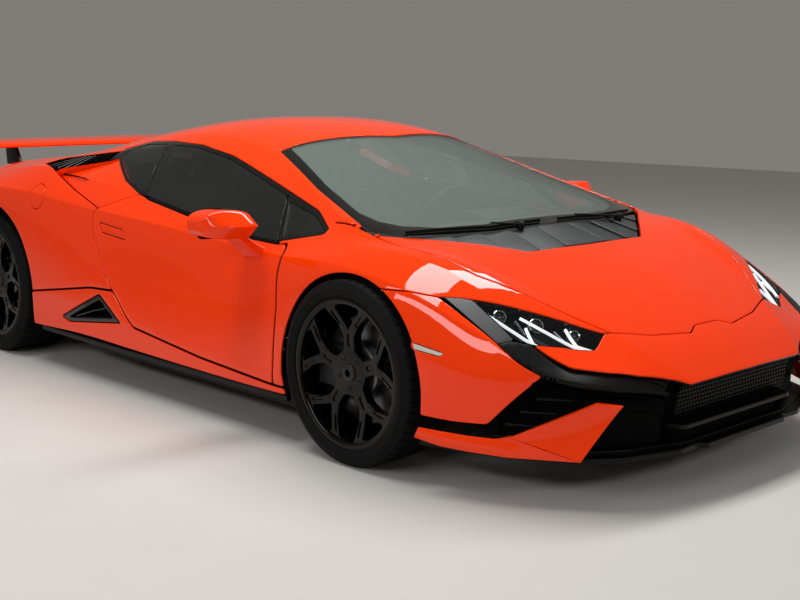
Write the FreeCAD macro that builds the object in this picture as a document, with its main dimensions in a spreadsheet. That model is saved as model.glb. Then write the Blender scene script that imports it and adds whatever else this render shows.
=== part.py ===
import FreeCAD
import Part
import math
import os
import re
import Sketcher

# A mid-engined two-seat supercar, in millimetres: +X forward, +Y to the driver's left, +Z up.
# The origin is on the ground below the middle of the car's length.

doc = FreeCAD.newDocument("supercar")
sheet = doc.addObject("Spreadsheet::Sheet", "sizes")

# Driving sizes: alias, value, what it measures.
SIZES = (
    ("front_axle_x", 1280, "front axle ahead of the middle"),
    ("rear_axle_x", -1340, "rear axle, behind the middle"),
    ("front_track_half", 834, "centre plane to the middle of a front tyre"),
    ("rear_track_half", 812, "centre plane to the middle of a rear tyre"),
    ("front_tyre_radius", 327.5, "245/30 R20 tyre, outside radius"),
    ("rear_tyre_radius", 345.5, "305/30 R20 tyre, outside radius"),
    ("front_tyre_half", 122, "half the width of a front tyre"),
    ("rear_tyre_half", 152, "half the width of a rear tyre"),
    ("tyre_shoulder", 22, "round of the tyre's shoulder"),
    ("bead_radius", 254, "rim seat of a 20 inch wheel"),
    ("lip_radius", 267, "outside of the rim's lip"),
    ("lip_width", 12, "width of the rim's lip along the axle"),
    ("rim_wall", 12, "thickness of the rim's barrel"),
    ("lip_setback", 10, "rim lip inside the tyre's side wall"),
    ("hub_radius", 74, "hub of the wheel round its centre cap"),
    ("cap_radius", 32, "plain centre cap"),
    ("spoke_setback", 22, "spoke face behind the rim's lip"),
    ("spoke_depth", 34, "depth of a spoke along the axle"),
    ("spoke_count", 5, "forked spokes in a wheel"),
    ("spoke_root", 20, "half the width of a spoke's stem"),
    ("fork_radius", 128, "where a spoke forks"),
    ("spoke_reach", 246, "spoke tips, inside the barrel"),
    ("fork_angle", 26, "outer edge of a fork's arm, degrees off the spoke"),
    ("fork_inner", 18, "inner edge of a fork's arm, degrees off the spoke"),
    ("cap_depth", 14, "hub face in front of the axle's end"),
    ("pin_clearance", 0.3, "round a turning pin"),
    ("wall_bulge", 26, "rim lip to the tyre's widest place"),
    ("shoulder_set", 6, "tread edge inside the widest place"),
    ("disc_radius", 190, "brake disc"),
    ("disc_thickness", 34, "ventilated brake disc"),
    ("disc_bell_radius", 80, "bell of the brake disc"),
    ("front_arch_radius", 360, "front wheel arch opening"),
    ("front_arch_x", 1288, "middle of the front arch opening"),
    ("front_arch_z", 316, "height of the front arch's middle"),
    ("rear_arch_radius", 396, "rear wheel arch opening"),
    ("side_wall", 92, "thickness of a door and of the body's sides"),
    ("top_wall", 30, "thickness of the lids and the roof"),
    ("glass_wall", 7, "thickness of the fixed and door glass"),
    ("lamp_wall", 46, "depth of a head lamp block"),
    ("shut_gap", 5.5, "gap round every opening panel"),
    ("lid_skin", 12, "skin of the front lid and the engine cover"),
    ("lid_gap", 8, "gap round the two lids"),
    ("seat_gap", 0.3, "closed panel over the lip it shuts on"),
    ("frame_gap", 7, "round the thick inner part of a panel"),
    ("door_skin", 70, "depth of a door outside its lip"),
    ("lip_top_z", 690, "top of the lip round a door opening"),
    ("flap_lip", 6, "width of the lip under the fuel flap"),
    ("flap_pocket", 48, "depth of the filler pocket"),
    ("slat_setback", 34, "slats behind the body's skin"),
    ("slat_depth", 30, "slats from front to back"),
    ("mesh_setback", 18, "mesh behind the body's skin"),
    ("intake_inner_y", 345, "inner end of a front intake, off the centre plane"),
    ("diffuser_half", 620, "half the width of the diffuser"),
    ("diffuser_top_z", 330, "top of the diffuser"),
    ("louvre_count", 6, "slots across the engine cover"),
    ("louvre_pitch", 190, "one slot to the next"),
    ("louvre_width", 120, "bar between two slots"),
    ("louvre_front_x", -700, "front edge of the first slot"),
    ("louvre_half", 330, "half the width of a slot"),
    ("tub_half", 550, "half the width of the front and rear frame boxes"),
    ("sill_half", 880, "half the width of the cabin floor"),
    ("floor_z", 118, "underside of the floor"),
    ("floor_thickness", 22, "floor panel"),
    ("cabin_rear_x", -600, "wall behind the seats"),
    ("cabin_front_x", 1000, "wall ahead of the footwell"),
    ("tub_front_x", 1985, "front end of the frame"),
    ("tub_rear_x", -1960, "rear end of the frame"),
    ("tub_wall", 24, "walls of the tub"),
    ("bulkhead_z", 800, "top of the wall behind the seats"),
    ("rear_window_half", 385, "half width of the rear window above that wall"),
    ("luggage_half", 330, "half the width of the front luggage bin"),
    ("luggage_front_x", 1880, "front of the luggage bin"),
    ("luggage_floor_z", 250, "underside of the luggage bin"),
    ("luggage_top_z", 520, "rim of the luggage bin"),
    ("far_half", 1200, "beyond the body to either side"),
    ("footwell_x", 868, "wall behind each front wheel"),
    ("footwell_z", 640, "top of that wall"),
    ("rail_top_z", 440, "top of the frame's side rails"),
    ("bulkhead_front_z", 690, "top of the wall ahead of the footwell"),
    ("tail_half", 600, "half the width of the tail wall"),
    ("luggage_rear_x", 1330, "rear of the luggage bin"),
    ("liner_gap", 12, "rear wheel arch edge to the liner"),
    ("front_wheel_room", 28, "front arch edge to the liner, so that the wheel can steer"),
    ("fender_skin", 14, "front fender and bumper skin over the wheel"),
    ("liner_wall", 5, "wheel liner"),
    ("liner_low_z", 300, "lower edge of the wheel liners"),
    ("splitter_z", 140, "underside of the splitter"),
    ("splitter_top_z", 158, "top of the splitter"),
    ("diffuser_tail_x", -2283, "rear edge of the diffuser"),
    ("diffuser_lip_z", 280, "height of the diffuser's rear edge"),
    ("diffuser_floor", 20, "thickness of the diffuser's floor"),
    ("fin_pitch", 204, "one diffuser fin to the next"),
    ("fin_half", 8, "half the thickness of a diffuser fin"),
    ("pipe_length", 136, "length of an exhaust tip"),
    ("pipe_tail_x", -2236, "open end of an exhaust tip"),
    ("skirt_seat", 0.3, "skirts and winglets off the bumper's skin"),
    ("winglet_thickness", 9, "blade of a winglet"),
    ("handle_depth", 8, "recess of a door handle"),
    ("grille_half", 300, "half the width of the middle grille"),
    ("grille_low_z", 200, "lower edge of the middle grille"),
    ("grille_top_z", 330, "upper edge of the middle grille"),
    ("mesh_depth", 10, "thickness of a mesh"),
    ("front_slats", 4, "slats in a front intake"),
    ("high_slats", 4, "slats in a high intake"),
    ("column_radius", 34, "steering column"),
    ("column_length", 341.7, "steering column, up to the wheel's hub"),
    ("column_reach", 372, "steering wheel's middle to the column's foot"),
    ("wiper_height", 14, "wiper off the glass"),
    ("seat_hip_z", 250, "foot of a seat back"),
    ("dash_half", 735, "half the width of the dashboard"),
    ("dash_front_half", 515, "half the width of its part between the wheel housings"),
    ("dash_top_half", 640, "half the width of the shelf under the windscreen"),
    ("console_half", 108, "half the width of the centre console"),
    ("console_z", 440, "top of the centre console"),
    ("steering_hub_radius", 62, "hub of the steering wheel"),
    ("steering_hub_depth", 44, "hub of the steering wheel, front to back"),
    ("steering_spoke", 30, "spoke of the steering wheel"),
    ("mirror_x", 708, "middle of a door mirror along the car"),
    ("mirror_length", 170, "door mirror head along the car"),
    ("mirror_width", 186, "door mirror head across the car"),
    ("mirror_height", 124, "door mirror head, height"),
    ("mirror_stem_length", 96, "mirror stem along the car"),
    ("mirror_stem_height", 22, "mirror stem"),
    ("stem_inner_y", 860, "inner end of the stem, inside the door's skin"),
    ("stem_z", 690, "height of the stem's inner end"),
    ("stem_rise", 36, "slope of the stem, degrees"),
    ("caliper_half", 43, "half the width of a brake caliper"),
    ("kingpin_y", 790, "kingpin off the centre plane"),
    ("kingpin_radius", 12, "kingpin"),
    ("kingpin_low_z", 156, "lower end of the kingpin"),
    ("kingpin_high_z", 500, "upper end of the kingpin"),
    ("lower_arm_z", 165, "inner ends of the lower arms"),
    ("upper_arm_z", 425, "inner ends of the upper arms"),
    ("engine_length", 640, "engine block along the car"),
    ("engine_width", 600, "engine block across the car"),
    ("engine_height", 520, "engine block, sump to covers"),
    ("engine_front_x", -640, "front face of the engine block"),
    ("seat_y", 370, "centre plane to the middle of a seat"),
    ("seat_width", 500, "seat across"),
    ("seat_front_x", 500, "front edge of a cushion"),
    ("seat_rear_x", 0, "seat cushion meets its back"),
    ("seat_cushion_z", 370, "top of a cushion"),
    ("seat_back_thickness", 150, "thickness of a seat back"),
    ("seat_back_top_z", 960, "top of a seat back with its head rest"),
    ("seat_lean", 24, "seat back leans back from upright, degrees"),
    ("door_open_angle", 65, "degrees that a door opens"),
    ("knuckle_radius", 62, "steering knuckle round the axle"),
    ("knuckle_length", 92, "steering knuckle along the axle"),
    ("arm_radius", 14, "suspension arm tube"),
    ("axle_radius", 24, "stub axle"),
    ("wing_half_span", 700, "half the span of the rear wing"),
    ("wing_chord", 270, "wing blade along the car"),
    ("wing_thickness", 34, "wing blade"),
    ("wing_x", -2110, "middle of the wing blade"),
    ("wing_z", 985, "middle of the wing blade"),
    ("wing_tilt", 6, "wing blade's angle, degrees"),
    ("upright_y", 455, "wing upright off the centre plane"),
    ("upright_thickness", 16, "wing upright"),
    ("pipe_radius", 62, "exhaust tip, across its corners"),
    ("pipe_y", 230, "exhaust tip off the centre plane"),
    ("pipe_z", 520, "height of the exhaust tips"),
    ("pipe_wall", 8, "wall of an exhaust tip"),
    ("steering_x", 470, "middle of the steering wheel"),
    ("steering_z", 690, "height of the steering wheel's middle"),
    ("steering_radius", 172, "steering wheel's rim, middle of its tube"),
    ("steering_tube", 15, "radius of the steering wheel's tube"),
    ("steering_lean", 24, "steering column's slope, degrees"),
    ("flap_x", -898, "middle of the fuel flap along the car"),
    ("flap_z", 793, "height of the fuel flap's middle"),
    ("flap_radius", 58, "round fuel flap"),
    ("flap_thickness", 7, "fuel flap"),
    ("mirror_y", 1025, "middle of a door mirror, off the centre plane"),
    ("mirror_z", 802, "height of a door mirror's middle"),
)
for row, (alias, number, meaning) in enumerate(SIZES, start=1):
    sheet.set("A%d" % row, meaning)
    sheet.set("B%d" % row, str(number))
    sheet.setAlias("B%d" % row, alias)
doc.recompute()


def size(alias):
    """A driving size as a number."""
    return float(sheet.get(alias))


ALIASES = {row[0] for row in SIZES}


def linked(text):
    """A formula in the sizes' names, with each name pointed at the sheet."""
    return re.sub(r"[a-z_]+[a-z0-9_]*",
                  lambda word: "sizes." + word.group(0) if word.group(0) in ALIASES else word.group(0),
                  text)


def bind(item, **formulas):
    """Drive properties of an object, such as Length or Radius, with formulas in the sizes' names."""
    for name, text in formulas.items():
        item.setExpression(name.replace("__", "."), linked(text))
    return item


# The body's feature lines at each station from tail to nose. Each line is (y, z) off the centre plane:
# crown; hood crease, windscreen edge and roof edge; top of the side glass; belt line; upper side crease;
# widest line; lower crease; sill.
STATIONS = (
    (-2200, (0, 850), (520, 838), (600, 830), (690, 822), (820, 770), (865, 560), (860, 330), (830, 200)),
    (-2050, (0, 868), (510, 852), (640, 852), (740, 842), (885, 780), (915, 560), (915, 330), (880, 190)),
    (-1700, (0, 915), (500, 885), (690, 895), (800, 868), (940, 800), (958, 560), (955, 340), (930, 175)),
    (-1340, (0, 985), (500, 935), (720, 935), (830, 900), (955, 820), (966, 570), (960, 350), (940, 170)),
    (-940, (0, 1062), (515, 1000), (735, 960), (850, 925), (940, 810), (960, 560), (958, 350), (948, 180)),
    (-500, (0, 1130), (535, 1070), (680, 1015), (835, 880), (912, 770), (938, 540), (955, 340), (950, 195)),
    (-100, (0, 1163), (550, 1095), (630, 1050), (835, 832), (900, 750), (925, 510), (948, 300), (946, 190)),
    (400, (0, 1125), (560, 1040), (625, 990), (848, 785), (890, 715), (918, 490), (945, 265), (944, 185)),
    (850, (0, 985), (690, 897), (720, 862), (850, 732), (890, 690), (925, 480), (945, 250), (942, 185)),
    (1194, (0, 853), (766, 794), (785, 780), (830, 760), (920, 700), (958, 500), (955, 330), (935, 185)),
    (1575, (0, 730), (640, 722), (700, 728), (780, 715), (905, 640), (945, 470), (948, 300), (938, 176)),
    (1850, (0, 625), (540, 612), (620, 615), (720, 590), (860, 530), (895, 430), (892, 260), (880, 158)),
    (2040, (0, 530), (460, 518), (540, 500), (640, 470), (800, 430), (800, 400), (800, 300), (790, 158)),
    (2200, (0, 437), (385, 425), (430, 415), (520, 400), (640, 380), (650, 350), (650, 300), (640, 158)),
    (2270, (0, 380), (335, 368), (360, 362), (400, 350), (450, 340), (460, 320), (460, 300), (450, 158)),
)
# How much of the side wall and of the top wall each line moves in by on the body's inner face.
INSET = ((0, 1), (0.3, 1), (0.6, 1), (1, 0.6), (1, 0), (1, 0), (1, 0), (1, 0))
# The inner face runs out below the sills so that the shell is open underneath.
OPEN_BELOW = 120


def section_wire(station, side, top, end):
    """One closed section of the body, moved in by the side and top walls; end moves it along the car."""
    x = station[0] + end
    half = []
    for (y, z), (side_share, top_share) in zip(station[1:], INSET):
        half.append((max(y - side * side_share, 0), z - top * top_share))
    if side:
        half[-1] = (half[-1][0], half[-1][1] - OPEN_BELOW)
    right = [FreeCAD.Vector(x, -y, z) for y, z in reversed(half[1:])]
    left = [FreeCAD.Vector(x, y, z) for y, z in half]
    return Part.makePolygon(right + left + [right[0]])


def body_form(side=0, top=0):
    """The whole outer form as a solid, or the same form moved in by the given walls."""
    wires = []
    for place, station in enumerate(STATIONS):
        end = 0
        if side and place == 0:
            end = top
        if side and place == len(STATIONS) - 1:
            end = -top
        wires.append(section_wire(station, side, top, end))
    return Part.makeLoft(wires, True, True)


def widened(outline, spread):
    """An outline moved outward all round by a distance, with mitred corners cut short at sharp tips."""
    count = len(outline)
    turning = sum(outline[i - 1][0] * outline[i][1] - outline[i][0] * outline[i - 1][1] for i in range(count))
    outward = 1 if turning > 0 else -1
    moved = []
    for i in range(count):
        (ax, ay), (bx, by), (cx, cy) = outline[i - 1], outline[i], outline[(i + 1) % count]
        before = FreeCAD.Vector(by - ay, ax - bx, 0).normalize() * outward
        after = FreeCAD.Vector(cy - by, bx - cx, 0).normalize() * outward
        middle = (before + after).normalize()
        reach = spread / max(middle.dot(after), 0.5)
        moved.append((bx + middle.x * reach, by + middle.y * reach))
    return moved


def from_above(outline, low, high, spread=0):
    """Upright prism on the left half's (x, y) outline and on its mirror image; spread widens it all round."""
    points = widened(outline, spread)
    wire = Part.makePolygon([FreeCAD.Vector(x, y, low) for x, y in points + points[:1]])
    left = Part.Face(wire).extrude(FreeCAD.Vector(0, 0, high - low))
    right = left.mirror(FreeCAD.Vector(0, 0, 0), FreeCAD.Vector(0, 1, 0))
    return left.fuse(right).removeSplitter()


def from_side(outline, near, far, spread=0):
    """Prism across the car on an outline of (x, z) points, from y = near to y = far."""
    points = widened(outline, spread)
    wire = Part.makePolygon([FreeCAD.Vector(x, near, z) for x, z in points + points[:1]])
    return Part.Face(wire).extrude(FreeCAD.Vector(0, far - near, 0))


def from_rear(outline, rear, front):
    """Prism along the car on the left half's (y, z) outline, with its mirror image."""
    wire = Part.makePolygon([FreeCAD.Vector(rear, y, z) for y, z in outline + outline[:1]])
    return both(Part.Face(wire).extrude(FreeCAD.Vector(front - rear, 0, 0)))


def hexagon(radius, y, z, rear, front):
    """Six-sided bar along the car, flat on top."""
    corners = []
    for number in range(7):
        angle = math.radians(60 * number)
        corners.append(FreeCAD.Vector(rear, y + radius * math.cos(angle), z + radius * math.sin(angle)))
    return Part.Face(Part.makePolygon(corners)).extrude(FreeCAD.Vector(front - rear, 0, 0))


def box(x0, x1, y0, y1, z0, z1):
    """A plain block between its corners."""
    return Part.makeBox(x1 - x0, y1 - y0, z1 - z0, FreeCAD.Vector(x0, y0, z0))


def both(shape):
    """A shape with its mirror image across the centre plane."""
    return Part.makeCompound([shape, shape.mirror(FreeCAD.Vector(0, 0, 0), FreeCAD.Vector(0, 1, 0))])


SUBPARTS = []


def keep(item, label):
    """Name an object as one of the car's sub-parts."""
    item.Label = label
    SUBPARTS.append(item)
    return item


def piece(label, shape):
    """A sub-part whose form comes from the body's own sections."""
    solids = shape.Solids
    item = doc.addObject("Part::Feature", label)
    item.Shape = Part.makeCompound(solids) if len(solids) > 1 else solids[0]
    item.Placement = FreeCAD.Placement()
    return keep(item, label)


# Panel outlines. Seen from the side, (x, z), clockwise or not; from above, (x, y) of the left half.
DOOR = [(-411, 773), (-437, 745), (-423, 654), (-384, 592), (-328, 502), (-251, 433), (-141, 339), (-75, 297),
        (412, 246), (873, 219), (872, 345), (874, 494), (862, 619), (872, 700), (850, 737), (805, 732),
        (586, 743), (306, 782), (-104, 837), (-181, 845)]
DOOR_GLASS = [(-120, 838.6), (-225, 1049), (-14, 1041), (216, 1004), (471, 940), (680, 886), (796, 732.5),
              (586, 743), (306, 782), (-104, 837)]
# The thick inner part of each opening panel: outside it only the skin reaches the shut line.
DOOR_FRAME = [(-380, 735), (-385, 660), (-350, 600), (-295, 510), (-222, 452), (-112, 362), (-60, 330),
              (412, 280), (838, 256), (838, 700), (800, 697), (306, 747), (-104, 800), (-180, 805)]
HOOD_FRAME = [(1420, 700), (1640, 660), (1820, 560), (1985, 430), (2035, 300), (2060, 60), (2052, 0),
              (1640, 0), (1630, 365), (1440, 600)]
COVER_FRAME = [(-605, 425), (-605, 0), (-1835, 0), (-1835, 410), (-1200, 425)]
REAR_GLASS = [(-155, 862), (-250, 1050), (-419, 1042), (-500, 1012), (-500, 985), (-329, 900), (-192, 858)]
FRONT_GLASS = [(712, 868), (812, 748), (1010, 785), (890, 833)]
SILL = [(-960, 345), (-426, 421), (-225, 410), (-141, 339), (-75, 297), (412, 246), (873, 219), (960, 219),
        (980, 150), (-980, 150)]
SIDE_INTAKE = [(-352, 404), (-680, 262), (-612, 246), (-170, 300)]
FENDER_SEAM = [(860, 100), (860, 1100), (2120, 1100), (2120, 560), (1660, 640), (1650, 634), (1559, 645),
               (1405, 628), (1405, 100)]
QUARTER = [(-560, 100), (-560, 1200), (-2060, 1200), (-2060, 100)]
HOOD = [(1225, 762), (1377, 757), (1674, 708), (1854, 600), (2038, 465), (2090, 315), (2122, 125), (2096, 68),
        (2096, 0), (1586, 0), (1574, 337), (1378, 585), (1302, 688)]
COWL = [(1298, 684), (1358, 511), (1396, 311), (1402, 0), (1580, 0), (1568, 334), (1372, 581)]
WINDSCREEN = [(1198, 752), (1284, 686), (1350, 504), (1388, 305), (1394, 0), (532, 0), (480, 319), (432, 545)]
HIGH_INTAKE = [(-1050, 935), (-1035, 958), (-530, 1010), (-545, 968), (-850, 922)]
FRONT_INTAKE = [(2062, 420), (1905, 258), (1905, 200), (2400, 200), (2400, 352), (2240, 365), (2180, 392)]
LAMP_BRIDGE = [(1660, 845), (1980, 545), (2034, 489), (2034, 0), (1660, 0)]
TAIL_LAMP = [(430, 700), (450, 730), (800, 745), (800, 700)]
SPLITTER = [(1600, 905), (1760, 868), (1915, 806), (2113, 690), (2188, 594), (2262, 366), (2256, 262), (2283, 244),
            (2283, 0), (1985, 0), (1985, 560), (1700, 760)]
UPRIGHT = [(-1960, 800), (-2060, 1000), (-2160, 1000), (-2150, 800)]
WIPERS = [[(1290, 640), (1372, 330), (1384, 60), (1368, 60), (1356, 326), (1274, 634)],
          [(1360, 0), (1352, -300), (1262, -640), (1246, -634), (1336, -296), (1344, 0)]]
DASH = [(700, 600), (740, 735), (866, 735), (866, 455), (770, 470)]
DASH_FRONT = [(856, 735), (1000, 735), (1000, 440), (856, 456)]
DASH_TOP = [(900, 714), (900, 760), (1310, 735), (1310, 714)]
HEAD_LAMP = [(1664, 842), (1802, 738), (1934, 597), (2031, 491), (2058, 566), (2022, 632), (1954, 738),
             (1815, 792)]
ENGINE_COVER = [(-560, 470), (-560, 0), (-1880, 0), (-1880, 455), (-1200, 470)]

HANDLE = [(-382, 714), (-193, 695), (-166, 655), (-361, 673)]
# Skirt on each side of the splitter, from above and from the side, and the corners of the winglet on its end
SKIRT = [(1645, 962), (1740, 944), (1840, 915), (1956, 858), (2040, 800), (2135, 726), (2120, 704), (2022, 776),
         (1940, 832), (1832, 889), (1734, 918), (1645, 936)]
SKIRT_SIDE = [(1640, 186), (1662, 221), (1915, 219), (1956, 228), (2135, 170), (2135, 158.3), (1740, 172)]
WINGLET = ((1956, 850, 228), (2165, 690, 349), (2214, 625, 338), (2131, 722, 171))

FAR = 1200
SLIVER = 30000


def solids_of(shape):
    """A shape's solids as one compound, without the slivers left beside a cut."""
    solids = [solid for solid in shape.Solids if solid.Volume > SLIVER]
    return Part.makeCompound(solids) if len(solids) > 1 else solids[0]


def side_of(shape, sign):
    """The solids of a symmetrical shape on one side of the centre plane; sign is 1 for the left."""
    return solids_of(Part.makeCompound([s for s in shape.Solids if s.CenterOfMass.y * sign > 0]))


outer = body_form()
inner = body_form(size("side_wall"), size("top_wall"))
glass_core = body_form(size("glass_wall"), size("glass_wall"))
lamp_core = body_form(size("lamp_wall"), size("lamp_wall"))
gap = size("shut_gap")
shell = outer.cut(inner)
glass_skin = outer.cut(glass_core)


def layer(depth):
    """The outermost layer of the body form, to a depth."""
    return outer.cut(body_form(depth, depth))


lid_skin = layer(size("lid_skin"))
lid_rebate = layer(size("lid_skin") + size("seat_gap"))
lid_gap = size("lid_gap")
frame_gap = size("frame_gap")

# Wheel arches, open right through the side
front_arch = Part.makeCylinder(size("front_arch_radius"), 2 * FAR,
                               FreeCAD.Vector(size("front_arch_x"), -FAR, size("front_arch_z")),
                               FreeCAD.Vector(0, 1, 0))
rear_arch = Part.makeCylinder(size("rear_arch_radius"), 2 * FAR,
                              FreeCAD.Vector(size("rear_axle_x"), -FAR, size("rear_tyre_radius")),
                              FreeCAD.Vector(0, 1, 0))

# Room for the steered front wheels behind the fender's skin
wheel_room = Part.makeCylinder(size("front_arch_radius") + size("front_wheel_room"), 2 * FAR,
                               FreeCAD.Vector(size("front_arch_x"), -FAR, size("front_arch_z")),
                               FreeCAD.Vector(0, 1, 0))
wheel_room = wheel_room.common(body_form(size("fender_skin"), size("fender_skin")))
wheel_room = wheel_room.cut(box(0, 2400, -size("tub_half"), size("tub_half"), 0, 1200))

# What opens or is glazed, cut out of the shell with a gap where it moves
lamps = from_above(HEAD_LAMP, 380, 700)
door_glazing = from_side(DOOR_GLASS, -FAR, FAR)
side_glazing = [from_side(outline, -FAR, FAR) for outline in (REAR_GLASS, FRONT_GLASS)]
screen = from_above(WINDSCREEN, 700, 1250)
high_intakes = from_side(HIGH_INTAKE, -FAR, FAR)
low_intakes = from_side(SIDE_INTAKE, -FAR, FAR)
front_intakes = both(from_side(FRONT_INTAKE, size("intake_inner_y"), FAR))
grille_opening = box(size("tub_front_x"), 2400, -size("grille_half"), size("grille_half"), size("grille_low_z"),
                     size("grille_top_z"))


def round_bar(radius):
    """A bar through the fuel flap's middle, on the right-hand side only."""
    return Part.makeCylinder(radius, FAR, FreeCAD.Vector(size("flap_x"), -FAR, size("flap_z")),
                             FreeCAD.Vector(0, 1, 0))


flap_layer = layer(size("flap_thickness"))
flap_rebate = layer(size("flap_thickness") + size("seat_gap")).common(round_bar(size("flap_radius") + gap))
flap_pocket = layer(size("flap_pocket")).common(round_bar(size("flap_radius") - size("flap_lip")))
door_rebate = layer(size("door_skin") + size("seat_gap")).common(from_side(DOOR, -FAR, FAR, gap))
above_lip = box(-700, 1200, -FAR, FAR, size("lip_top_z"), 1000)
cuts = [door_rebate, from_side(DOOR_FRAME, -FAR, FAR, frame_gap), from_side(DOOR, -FAR, FAR, gap).common(above_lip),
        from_side(DOOR_GLASS, -FAR, FAR, gap),
        lid_rebate.common(from_above(HOOD, 430, 900, lid_gap)), from_above(HOOD_FRAME, 430, 900, frame_gap),
        lid_rebate.common(from_above(ENGINE_COVER, 770, 1250, lid_gap)),
        from_above(COVER_FRAME, 770, 1250, frame_gap),
        screen, lamps, high_intakes, low_intakes, front_intakes, grille_opening, flap_rebate, flap_pocket,
        front_arch, wheel_room, rear_arch] + side_glazing
fixed = shell
for tool in cuts:
    fixed = fixed.cut(tool)

# The fixed shell split where the real panels meet
deck_split = 800
bumper_zone = box(1405, 2400, -FAR, FAR, 60, 800).cut(from_side(FENDER_SEAM, -FAR, FAR))
bumper_zone = bumper_zone.cut(from_above(LAMP_BRIDGE, 500, 700))
ZONES = (
    ("side_sills", from_side(SILL, -FAR, FAR)),
    ("cowl_panel", from_above(widened(COWL, gap), 640, 900)),
    ("front_bumper", bumper_zone),
    ("front_fenders", box(875, 2300, -FAR, FAR, 60, 900).cut(box(800, 1250, -790, 790, 690, 950))),
    ("rear_bumper", box(-2300, size("tub_rear_x"), -FAR, FAR, 40, deck_split)),
    ("roof_frame", box(-560, 1400, -FAR, FAR, 842, 1250).fuse(box(600, 1400, -FAR, FAR, 690, 1250))),
)
panels = {}
for label, zone in ZONES:
    panels[label] = fixed.common(zone)
    fixed = fixed.cut(zone)
panels["rear_quarters"] = fixed

# Rear end: lamps, diffuser space and exhaust openings through the tail
lamp_band = from_rear(TAIL_LAMP, -2300, -2100)
tail = panels["rear_bumper"]
tail_lamps = tail.common(lamp_band)
tail = tail.cut(lamp_band)
diffuser_space = box(-2300, size("tub_rear_x"), -size("diffuser_half"), size("diffuser_half"), 40,
                     size("diffuser_top_z"))
tail = tail.cut(diffuser_space)
pipes = both(hexagon(size("pipe_radius"), size("pipe_y"), size("pipe_z"), -2290, -2080))
panels["rear_bumper"] = tail.cut(pipes)

for label, shape in panels.items():
    piece(label, solids_of(shape))
piece("tail_lamps", solids_of(tail_lamps))
piece("headlamps", solids_of(outer.cut(lamp_core).common(lamps)))
piece("fixed_glass", Part.makeCompound(
    solids_of(glass_skin.common(screen)).Solids
    + [solid for prism in side_glazing for solid in solids_of(glass_skin.common(prism)).Solids]
    + box(size("cabin_rear_x") - size("glass_wall"), size("cabin_rear_x"), -size("rear_window_half"),
          size("rear_window_half"), size("bulkhead_z"), 1200)
    .common(inner.translated(FreeCAD.Vector(0, 0, -8))).Solids))

# Lids: a thin skin out to the shut lines with a thick frame inside it
lid_hood = lid_skin.common(from_above(HOOD, 430, 900))
lid_hood = lid_hood.fuse(shell.common(from_above(HOOD_FRAME, 430, 900))).removeSplitter()
piece("hood", solids_of(lid_hood))
lid_cover = lid_skin.common(from_above(ENGINE_COVER, 780, 1250))
lid_cover = lid_cover.fuse(shell.common(from_above(COVER_FRAME, 780, 1250)))
slot_length = size("louvre_pitch") - size("louvre_width")
for count in range(int(size("louvre_count"))):
    rear = size("louvre_front_x") - count * size("louvre_pitch")
    lid_cover = lid_cover.cut(box(rear - slot_length, rear, -size("louvre_half"), size("louvre_half"), 780, 1250))
piece("engine_cover", solids_of(lid_cover.removeSplitter()))

door_lip = body_form(size("door_skin"), size("door_skin")).cut(from_side(DOOR_FRAME, -FAR, FAR))
door_pair = shell.common(from_side(DOOR, -FAR, FAR)).cut(door_lip.cut(above_lip))
door_pair = door_pair.cut(layer(size("handle_depth")).common(from_side(HANDLE, -FAR, FAR)))
glass_pair = glass_skin.common(door_glazing)
for sign, side in ((1, "left"), (-1, "right")):
    piece("door_" + side, side_of(door_pair, sign))
    piece("door_glass_" + side, side_of(glass_pair, sign))

flap = flap_layer.common(round_bar(size("flap_radius")))
piece("fuel_flap", flap.Solids[0])

# Black grilles and slats, each band set back from the skin behind its opening
slat_layer = body_form(size("slat_setback"), size("slat_setback"))
slat_layer = slat_layer.cut(body_form(size("slat_setback") + size("slat_depth"),
                                      size("slat_setback") + size("slat_depth")))


def slats(openings, low, high, count):
    """Level slats across the openings, count of them between two heights."""
    pitch = (high - low) / count
    bars = []
    for number in range(int(count)):
        base = low + (number + 0.5) * pitch
        bars.append(box(-FAR, 2 * FAR, -FAR, FAR, base, base + pitch * 0.4))
    return slat_layer.common(openings).common(Part.makeCompound(bars))


grille_plate = body_form(size("mesh_setback"), size("mesh_setback"))
mesh_back = size("mesh_setback") + size("mesh_depth")
grille_plate = grille_plate.cut(body_form(mesh_back, mesh_back))
piece("front_grilles", Part.makeCompound(slats(front_intakes, 200, 400, size("front_slats")).Solids
                                         + grille_plate.common(grille_opening).Solids))
piece("side_intakes", Part.makeCompound(slats(high_intakes, 900, 1010, size("high_slats")).Solids
                                        + grille_plate.common(low_intakes).Solids))


# Machine parts drawn as dimensioned outlines and turned or padded


def plane_of(body, role):
    """One of a body's own base planes."""
    return [feature for feature in body.Origin.OriginFeatures if feature.Role == role][0]


def outline_in(body, name, role, corners):
    """A closed outline on a base plane; each corner is a pair of formulas, each dimensioned from the origin."""
    sketch = body.newObject("Sketcher::SketchObject", name)
    sketch.AttachmentSupport = [(plane_of(body, role), "")]
    sketch.MapMode = "FlatFace"
    points = [[float(sheet.evalExpression(linked(formula))) for formula in corner] for corner in corners]
    count = len(points)
    for number, (u, v) in enumerate(points):
        next_u, next_v = points[(number + 1) % count]
        sketch.addGeometry(Part.LineSegment(FreeCAD.Vector(u, v, 0), FreeCAD.Vector(next_u, next_v, 0)), False)
    for number in range(count):
        sketch.addConstraint(Sketcher.Constraint("Coincident", number, 2, (number + 1) % count, 1))
    for number, corner in enumerate(corners):
        for kind, formula, value, axis in (("DistanceX", corner[0], points[number][0], -2),
                                           ("DistanceY", corner[1], points[number][1], -1)):
            if abs(value) < 0.001:
                sketch.addConstraint(Sketcher.Constraint("PointOnObject", number, 1, axis))
            else:
                place = sketch.addConstraint(Sketcher.Constraint(kind, -1, 1, number, 1, value))
                sketch.setExpression("Constraints[%d]" % place, linked(formula))
    return sketch


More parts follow.
